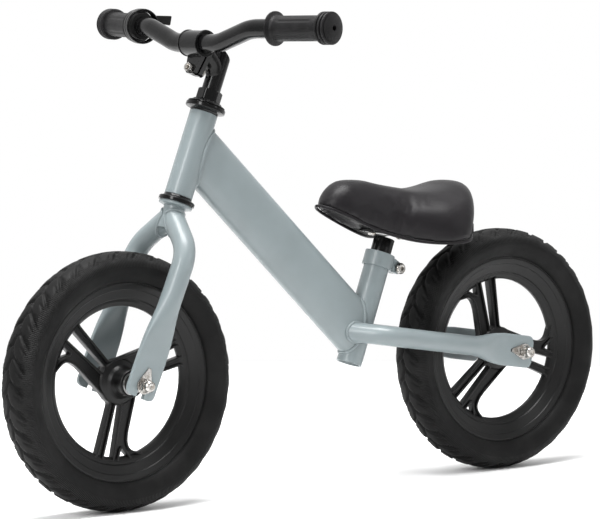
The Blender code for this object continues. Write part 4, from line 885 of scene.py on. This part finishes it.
def fork_leg(hand, sign):
    axle = CENTRES["front"] + ACROSS * sign * 0.04975
    shoulder = head_place(0, sign * 0.04975, -0.0640)
    way = unit(axle - shoulder)
    corners = [head_place(0, sign * 0.003, -0.0250), shoulder, axle + way * 0.0145]
    points = pressed_tube(corners, 0.045, 0.0127, 0.075, axle)
    make(f"{hand}_leg_shell", [grid(capped(points))], "grey_green_enamel", "fork", [f"{hand}_fork_leg"],
         sharp=55, cutters=dropout_cutters(axle, -way))
    apart = points - HEAD_FOOT
    apart = np.linalg.norm(apart - (apart @ HEAD_UP)[..., None] * HEAD_UP, axis=-1)
    bead(f"{hand}_leg_weld", crossing(points, apart, 0.0131), HEAD_UP + 0.3 * HEAD_BACK, "fork", size=0.0015)


for hand, sign in (("left", -1), ("right", 1)):
    stay(hand, sign)
    fork_leg(hand, sign)
print("pieces so far:", len(MADE))

# %% [markdown]
# ## Headset
# The headset is a stack of turned rings: a pressed cup, a cone with a wide skirt and a thin washer,
# and a locknut with six flats.  Below the head tube sits the lower cup, and under it the pale crown
# race on the fork.  Small grooves between the rings catch the shadow that tells them apart.


# %% Headset and steerer
def ring(name, corners, place, direction, look, body, replaced, rim=0.0006, count=96):
    profile = rounded(corners, rim, 4)
    shell = turned(profile, place, direction, count)
    return make(name, [shell], look, body, replaced, sharp=30)


def headset():
    top = head_place(0, 0, HEAD_LENGTH)
    for name, wide, sign, place in (("upper", 0.0236, 1, top), ("lower", 0.0214, -1, HEAD_FOOT)):
        cup = [(0.0134, -0.0080), (0.0142, -0.0080), (0.0142, 0.0003), (0.0165, 0.0003), (0.0172, 0.0022),
               (wide - 0.0006, 0.0038), (wide, 0.0046), (wide, 0.0085), (wide - 0.0020, 0.0085),
               (wide - 0.0020, 0.0035), (0.0134, 0.0035)]
        ring(f"{name}_cup_shell", cup, place, HEAD_UP * sign, "black_powder_coat", "frame",
             [f"{name}_headset_cup"], 0.0005)
    race = [(0.0130, -0.0140), (0.0176, -0.0126), (0.0198, -0.0118), (0.0198, -0.0092), (0.0180, -0.0076),
            (0.0130, -0.0076)]
    ring("crown_race_ring", race, HEAD_FOOT, HEAD_UP, "grey_green_enamel", "fork", ["crown_race"], 0.0007)
    cone = [(0.0130, 0.0076), (0.0205, 0.0076), (0.0210, 0.0090), (0.0222, 0.0096), (0.0222, 0.0108),
            (0.0192, 0.0118), (0.0186, 0.0126), (0.0174, 0.0128), (0.0172, 0.0140), (0.0130, 0.0140)]
    ring("adjusting_cone_shell", cone, top, HEAD_UP, "black_powder_coat", "fork",
         ["headset_adjusting_cone"], 0.0004)
    low, high, flats = 0.0143, 0.0275, 0.0264
    rows = (low, low + 0.0008, low + 0.0016, high - 0.0016, high - 0.0008, high)
    profile = [(0.0130, low)] + [(0.0132, h) for h in rows]
    profile += [(0.0116, high), (0.0116, 0.0251), (0.0130, 0.0251)]

    def reshape(radius, height, angle):
        side = np.minimum(flats / 2 / np.cos(from_flat(angle)), 0.0146)
        cone_cut = flats / 2 * 1.03 + np.minimum(height - low, high - height) / math.tan(0.45)
        return np.where(radius > 0.01310, np.minimum(side, cone_cut), radius)

    make("locknut_shell", [turned(profile, top, HEAD_UP, 144, level=HEAD_BACK, reshape=reshape)],
         "black_powder_coat", "fork", ["headset_locknut"], sharp=26)
    end = HEAD_LENGTH + 0.0248
    tube = [(0.0114, -0.0406), (0.0127, -0.0406), (0.0127, end), (0.0114, end)]
    ring("steerer_shell", tube, HEAD_FOOT, HEAD_UP, "grey_green_enamel", "fork", ["steerer_tube"], 0.0004, 72)


headset()
print("pieces so far:", len(MADE))

# %% [markdown]
# ## Stem, handlebar and grips
# The stem is forged and sawn.  A copy of its solid with eased edges carries it, and a rounded neck and
# a lip at each mouth of the clamp finish it.  The handlebar is one tube bent at four places.  A grip
# is a turned part whose body has long shallow flutes: the radius drops by a smooth bump that repeats
# round the axis.

# %% Stem and its bolts
for node, bevel in (("stem", 0.0007), ("stem_wedge", 0.0004), ("stem_expander_bolt", 0.0003)):
    eased(node, "black_powder_coat" if node == "stem" else "bright_plate", "stem", bevel)
BAR_CENTRE = np.array(JOINTS["handlebar_roll"]["pos_m"], float)
for node in ("bar_clamp_bolt", "bar_clamp_nut"):
    eased(node, "bright_plate", "stem", 0.0003)


def lip_rings():
    """A raised lip round each mouth of the bar clamp, where the casting stands proud."""
    section = [(0.0121, 0.0158), (0.0156, 0.0158), (0.0158, 0.0166), (0.0156, 0.0179), (0.0121, 0.0179)]
    shells = [turned(rounded(section, 0.0005, 3), BAR_CENTRE, ACROSS * sign, 96) for sign in (-1, 1)]
    make("clamp_lips", shells, "black_powder_coat", "stem", sharp=30)


def stem_neck():
    """The forged neck that runs from the bar clamp back and down into the quill."""
    route = np.array([head_place(-0.0300, 0, 0.1700), head_place(-0.0190, 0, 0.1650),
                      head_place(-0.0085, 0, 0.1590), head_place(-0.0012, 0, 0.1490)])
    path = smooth(route, 24)
    share = np.linspace(0, 1, 24)
    sections = oval(0.0098 + 0.0006 * share, 0.0146 - 0.0042 * share, 2.4 - 0.4 * share, 56)
    make("stem_neck", [grid(capped(carried(path, sections, ACROSS)))], "black_powder_coat", "stem", sharp=60)


lip_rings()
stem_neck()
print("handlebar clamp centre", BAR_CENTRE.round(4))

# %% Handlebar
BAR_RADIUS = 0.0111
KNEE, BAR_TIP = np.array([0.0035, 0.1000, 0.0178]), np.array([0.0285, 0.2180, 0.0196])
MIRROR = np.array([1, -1, 1])


def bent_bar():
    right = [np.array([0, 0.0420, 0]), KNEE, BAR_TIP]
    corners = BAR_CENTRE + np.array([point * MIRROR for point in reversed(right)] + right)
    path, length = evenly(rounded(corners, 0.070, 20, closed=False), 220)
    make("bent_bar", [grid(capped(carried(path, circle(BAR_RADIUS, 48), (0, 0, 1))))], "black_powder_coat",
         "handlebar", ["handlebar"])
    return length


print("handlebar tube is", round(float(bent_bar()), 4), "m long")


# %% Grips
GRIP_LENGTH, FLUTES = 0.0890, 10


def grip_profile():
    """(radius, height) from the inner flange, over the body and three rings, to the domed end."""
    corners = [(0.0114, 0.0), (0.0186, 0.0), (0.0198, 0.0010), (0.0198, 0.0028), (0.0188, 0.0036),
               (0.0160, 0.0042), (0.0150, 0.0056)]
    body = [(0.0146, h) for h in np.linspace(0.0080, 0.0700, 44)]
    rings = []
    for i in range(3):
        z = 0.0728 + 0.0048 * i
        rings += [(0.0150, z - 0.0006), (0.0152, z + 0.0002), (0.0182, z + 0.0005), (0.0187, z + 0.0011),
                  (0.0187, z + 0.0028), (0.0182, z + 0.0034), (0.0152, z + 0.0037)]
    hole = GRIP_LENGTH - 0.0046
    end = [(0.0160, 0.0868), (0.0110, 0.0884), (0.0060, 0.0889), (0.0032, GRIP_LENGTH), (0.0028, hole),
           (0, hole)]
    return np.array([(0, 0.0)] + corners + body + rings + end)


def fluted(radius, height, angle):
    """Shallow flutes on the body: depth 0.55 mm times smooth bumps round the axis and along it."""
    bump = ease(np.cos(angle * FLUTES), 0.15, 0.85)
    along = ease(height, 0.012, 0.017) * (1 - ease(height, 0.060, 0.065))
    return np.broadcast_to(radius, np.broadcast_shapes(radius.shape, angle.shape)) - 0.00055 * bump * along


def grip(hand, sign):
    tip, knee = BAR_CENTRE + BAR_TIP * (1, sign, 1), BAR_CENTRE + KNEE * (1, sign, 1)
    way = unit(tip - knee)
    start = tip + way * (0.0030 - GRIP_LENGTH)
    make(f"{hand}_rubber_grip", [turned(grip_profile(), start, way, 160, reshape=fluted)], "grip_rubber",
         "handlebar", [f"{hand}_grip"], sharp=50)
    return start, way


GRIPS = {hand: grip(hand, sign) for hand, sign in (("left", -1), ("right", 1))}
print("grips start at", [start.round(4).tolist() for start, _ in GRIPS.values()])

# %% [markdown]
# ## Bell
# The bell is a ring on a clip beside the right grip, with a small lever for the thumb.  Its parts are
# small, so eased copies of the solids carry the clip and the lever; the ring itself is turned.


# %% Bell
BELL_WIDTH, BELL_GAP = 0.0120, 0.0037


def bell():
    start, way = GRIPS["right"]
    place = start - way * (BELL_WIDTH + BELL_GAP)
    section = [(0.0188, 0.0), (0.0204, 0.0), (0.0210, 0.0012), (0.0210, 0.0050), (0.0206, 0.0056),
               (0.0206, 0.0064), (0.0210, 0.0070), (0.0210, 0.0108), (0.0204, 0.0120), (0.0188, 0.0120)]
    ring("bell_sounding_ring", section, place, way, "black_powder_coat", "handlebar", ["bell_ring"], 0.0005)
    eased("bell_clip", "moulded_plastic", "handlebar", 0.0004)
    eased("bell_lever", "moulded_plastic", "bell_lever", 0.0006)


bell()
print("pieces so far:", len(MADE))

# %% [markdown]
# ## Seat
# The post is a fluted tube, clamped by a collar with a bolt.  The bolt has a round head with a socket
# for a key.


# %% Seat post and clamp
def fluted_post(radius, height, angle):
    groove = ease(np.cos(angle * 6), 0.55, 0.95)
    return np.where(radius > 0.0120, radius - 0.00045 * groove, radius)


def key_socket(radius, height, angle):
    """Six flats in the bolt's head."""
    inside = (radius < 0.0036) & (radius > 0.0005)
    return np.where(inside, np.minimum(radius, 0.0026 / np.cos(from_flat(angle))), radius)


def seat_hardware():
    eased("saddle_bracket", "black_powder_coat", "seat", 0.0006)
    eased("seat_clamp", "grey_green_enamel", "frame", 0.0008)
    post = turned(tube_profile(0.0109, 0.0127, 0.0500, 0.1590), SEAT_FOOT, SEAT_UP, 120, reshape=fluted_post)
    make("seat_post_tube", [post], "black_powder_coat", "seat", ["seat_post"], sharp=35)
    low, high = (np.array(corner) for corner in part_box("seat_clamp_bolt"))
    centre = (low + high) / 2 * (1, 0, 1)
    face = 0.0083
    head = rounded([(0, face), (0.0068, face), (0.0068, face + 0.0032), (0.0054, face + 0.0050),
                    (0.0032, face + 0.0050), (0.0030, face + 0.0022), (0, face + 0.0022)], 0.0009, 4, False)
    shank = tube_profile(0, 0.0040, -0.0153, face + 0.001, 0.0005)
    make("seat_clamp_screw", [turned(head, centre, -ACROSS, 72, reshape=key_socket),
                              turned(shank, centre, -ACROSS, 36)],
         "bright_plate", "frame", ["seat_clamp_bolt"], sharp=30)
    make("seat_clamp_nut_shape", [hexagon_nut(0.0130, -face - 0.0063, -face, centre, -ACROSS, 0.0043)],
         "bright_plate", "frame", ["seat_clamp_nut"], sharp=28)


seat_hardware()
print("pieces so far:", len(MADE))

# %% [markdown]
# ## Saddle
# The saddle is foam under a smooth black skin.  Its length is a line of stations, and at each one the
# skin runs over the top as a flattened half oval and tucks under the edge.  The stations are read off
# the frame's own solid, so the skin always fits it.  The form is then remeshed and blown up a little
# by a cloth simulation, because padding under a stretched skin never has the dead flat spots of a
# formula.  A rolled lip hides the staples round the edge.

# %% Saddle stations
def saddle_stations(count=90):
    """x, top, edge height and half width of the solid, as smooth curves along the saddle."""
    mesh = frame["nodes"]["saddle_cover"].data
    flat = np.zeros(len(mesh.vertices) * 3)
    mesh.vertices.foreach_get("co", flat)
    corners = flat.reshape(-1, 3)
    found = []
    for x in np.unique(corners[:, 0].round(4)):
        section = corners[np.abs(corners[:, 0] - x) < 0.0002]
        widest = section[np.argmax(np.abs(section[:, 1]))]
        found.append((x, section[:, 2].max(), widest[2], np.abs(widest[1])))
    return smooth(found, count)


STATIONS = saddle_stations()
TAIL_TUCK = 0.012
print("saddle from", STATIONS[0].round(4), "to", STATIONS[-1].round(4))


def saddle_form(stations, shrink):
    """Top: y = w c|c|^-0.2, z = edge + h |s|^0.8; then under the lip and across a hollow."""
    x, top, edge, half = (stations[:, k, None] for k in range(4))
    half, top = np.maximum(half - shrink, 0.0015), top - shrink
    over = np.linspace(0, np.pi, 49)[None, :]
    c, s = np.cos(over), np.sin(over)
    height = np.maximum(top - edge, 0.002)
    roof = np.minimum(0.011, 0.38 * height)
    low = (1 - np.abs(s)) ** 2.2
    tail = ease(x, STATIONS[-1, 0] - 0.060, STATIONS[-1, 0])
    x = x - TAIL_TUCK * low * tail
    half = half * (1 - (0.05 + 0.09 * tail) * low)
    upper = np.stack(np.broadcast_arrays(x, half * np.sign(c) * np.abs(c) ** 0.78,
                                         edge + shrink * 0.5 + height * np.abs(s) ** 0.82), -1)
    half, x = half[:, :1], x[:, :1]
    inner = np.maximum(half - 0.0085, half * 0.25)
    back = np.linspace(np.pi, 0, 25)[None, :]
    cb, sb = np.cos(back), np.sin(back)
    lower = np.stack(np.broadcast_arrays(x, inner * np.sign(cb) * np.abs(cb) ** 0.8,
                                         edge + shrink * 0.5 + roof * np.abs(sb) ** 0.6), -1)
    return np.concatenate([upper, lower], 1)


def padded_cover():
    form = saddle_form(STATIONS, 0.0016)
    form[:, :, 0] = form[:, :, 0] * 0.985 + form[:, :, 0].mean() * 0.015
    made = make("padded_cover", [grid(capped(form))], "saddle_skin", "seat", ["saddle_cover"], sharp=180)
    blow_up(made, voxel=0.0034, frames=20, cap=0.0025)
    return made


def blow_up(made, voxel, frames, cap):
    """Remesh, inflate as cloth for a few frames, limit every move, and smooth the result."""
    step = made.modifiers.new("even_mesh", "REMESH")
    step.mode, step.voxel_size, step.adaptivity = "VOXEL", voxel, 0.0
    applied(made)
    rest = positions(made.data)
    cloth = made.modifiers.new("padding", "CLOTH")
    cloth.settings.use_pressure = True
    cloth.settings.uniform_pressure_force = 4
    cloth.settings.quality = 5
    cloth.settings.mass = 0.3
    cloth.settings.effector_weights.gravity = 0
    scene = bpy.context.scene
    for number in range(1, frames + 1):
        scene.frame_set(number)
    applied(made)
    moved = positions(made.data) - rest
    far = np.linalg.norm(moved, axis=1, keepdims=True)
    moved *= np.minimum(1, cap / np.maximum(far, 1e-9))
    made.data.vertices.foreach_set("co", (rest + moved).ravel())
    scene.frame_set(1)
    step = made.modifiers.new("smooth", "SMOOTH")
    step.factor, step.iterations = 0.5, 3
    step = made.modifiers.new("subsurf", "SUBSURF")
    step.levels = step.render_levels = 1
    applied(made)
    made.data.shade_smooth()
    print("padding moved the skin by", round(float(far.max()) * 1000, 2), "mm, capped at", cap * 1000)


def positions(mesh):
    flat = np.zeros(len(mesh.vertices) * 3)
    mesh.vertices.foreach_get("co", flat)
    return flat.reshape(-1, 3)


COVER = padded_cover()
print("saddle cover has", len(COVER.data.polygons), "faces")


# %% Saddle lip, base and screws
def saddle_lip():
    """A rolled edge: a rounded section carried along the edge line of both sides."""
    inner = STATIONS[2:-2]
    tail_share = ease(inner[:, 0], STATIONS[-1, 0] - 0.060, STATIONS[-1, 0])
    half = (inner[:, 3] - 0.0022) * (0.95 - 0.09 * tail_share)
    right = np.stack([inner[:, 0] - TAIL_TUCK * tail_share, half, inner[:, 2] + 0.0012], 1)
    nose = np.array([[STATIONS[0, 0] + 0.0040, 0, STATIONS[0, 2] + 0.0010]])
    tail = np.array([[STATIONS[-1, 0] - TAIL_TUCK - 0.0030, 0, STATIONS[-1, 2] + 0.0012]])
    loop = np.concatenate([nose, right, tail, (right * MIRROR)[::-1]])
    path = evenly(np.concatenate([loop, loop[:1]]), 321)[0][:-1]
    section = rounded([(-0.0013, -0.0018), (0.0013, -0.0018), (0.0013, 0.0018), (-0.0013, 0.0018)], 0.0012, 4)
    return make("saddle_lip", [grid(carried(path, section, (0, 0, 1), closed=True), closed_rows=True)],
                "saddle_skin", "seat", sharp=80)


saddle_lip()
eased("saddle_base", "grey_base_plastic", "seat", 0.0005)
for node in ("front_saddle_screw", "rear_saddle_screw"):
    eased(node, "bright_plate", "seat", 0.0004)
print("pieces so far:", len(MADE))

# %% [markdown]
# ## What the eye seldom finds
# The sleeve, the ball retainers and a few inner fittings keep their solids from the frame.  They get
# the same finishes, so a bare default never shows through a gap.

# %% Finishes for the solids that stay
BY_SLOT = {}
for look, (material, slot) in LOOKS.items():
    BY_SLOT.setdefault(slot, material)
SLOT_OF = {row["node"]: row["material_slot"] for row in frame["record"]["subparts"]}
for node, solid in frame["nodes"].items():
    solid.data.materials.clear()
    solid.data.materials.append(BY_SLOT[SLOT_OF[node]])
print("solids with a finish:", len(frame["nodes"]))

# %% [markdown]
# ## Floor, light and camera
# The bike stands on a plain pale disc before a white backdrop, and large soft lamps give the long
# highlights that show a tube's roundness.  The camera is a long lens a few metres away, a little
# higher than the handlebar.


# %% Stage
FLOOR_RADIUS = 1.35


def pale_floor():
    material = bpy.data.materials.new("pale_floor")
    material.use_nodes = True
    shader = material.node_tree.nodes["Principled BSDF"]
    shader.inputs["Base Color"].default_value = (0.97, 0.97, 0.97, 1)
    shader.inputs["Roughness"].default_value = 0.75
    mesh = bpy.data.meshes.new("pale_floor")
    edge = [(x, y, 0.0) for x, y in circle(FLOOR_RADIUS, 96)]
    mesh.from_pydata(edge, [], [tuple(range(96))])
    mesh.materials.append(material)
    placed("pale_floor", mesh)


def soft_lamp(name, place, aim, size, power):
    lamp = bpy.data.lights.new(name, "AREA")
    lamp.shape, lamp.size, lamp.size_y, lamp.energy = "RECTANGLE", size[0], size[1], power
    holder = placed(name, lamp)
    holder.location = place
    holder.rotation_euler = (Vector(aim) - Vector(place)).to_track_quat("-Z", "Y").to_euler()


def daylight(low, high, toward):
    """A room that is white on one side, the backdrop, and dimmer behind the viewer."""
    world = bpy.data.worlds.new("soft_daylight")
    world.use_nodes = True
    background = world.node_tree.nodes["Background"]
    direction = Wire(world.node_tree).node("TexCoord", {}, {}, "Generated")
    facing = direction.node("VectorMath", {"operation": "DOT_PRODUCT"}, {0: direction, 1: toward}, "Value")
    shade = facing.between(-0.35, 0.35).mixed(grey(low), grey(high))
    world.node_tree.links.new(shade.socket, background.inputs["Color"])
    bpy.context.scene.world = world


pale_floor()
daylight(0.42, 1.0, (0.61, 0.79, 0.0))
soft_lamp("overhead", (-0.3, -0.2, 2.4), (0, 0, 0.3), (1.8, 0.9), 95)
soft_lamp("front_left", (-2.6, -0.9, 1.5), (0, 0, 0.3), (0.7, 1.5), 46)
soft_lamp("camera_side", (1.2, -2.6, 1.4), (0, 0, 0.3), (0.5, 1.5), 10)

# %% Camera
CAMERA_PLACE = Vector((-2.5276, -3.2571, 0.6169))
YAW, PITCH, ROLL = (math.radians(v) for v in (-37.5706, 4.7315, -0.0979))
LENS = 207.70


def camera():
    """Back points from the subject to the camera; roll turns the picture a hair."""
    back = Vector((math.sin(YAW) * math.cos(PITCH), -math.cos(YAW) * math.cos(PITCH), math.sin(PITCH)))
    right = Vector((0, 0, 1)).cross(back).normalized()
    up = back.cross(right)
    turn = Matrix((right, up, back)).transposed() @ Matrix.Rotation(ROLL, 3, "Z")
    data = bpy.data.cameras.new("studio_camera")
    data.lens, data.sensor_width, data.clip_start, data.clip_end = LENS, 36.0, 0.05, 60
    made = placed("studio_camera", data)
    made.matrix_world = Matrix.Translation(CAMERA_PLACE) @ turn.to_4x4()
    bpy.context.scene.camera = made


camera()
bpy.context.scene.view_settings.view_transform = "Standard"
print("camera", round((CAMERA_PLACE - Vector((0, 0, 0.3))).length, 3), "m from the bike's middle")
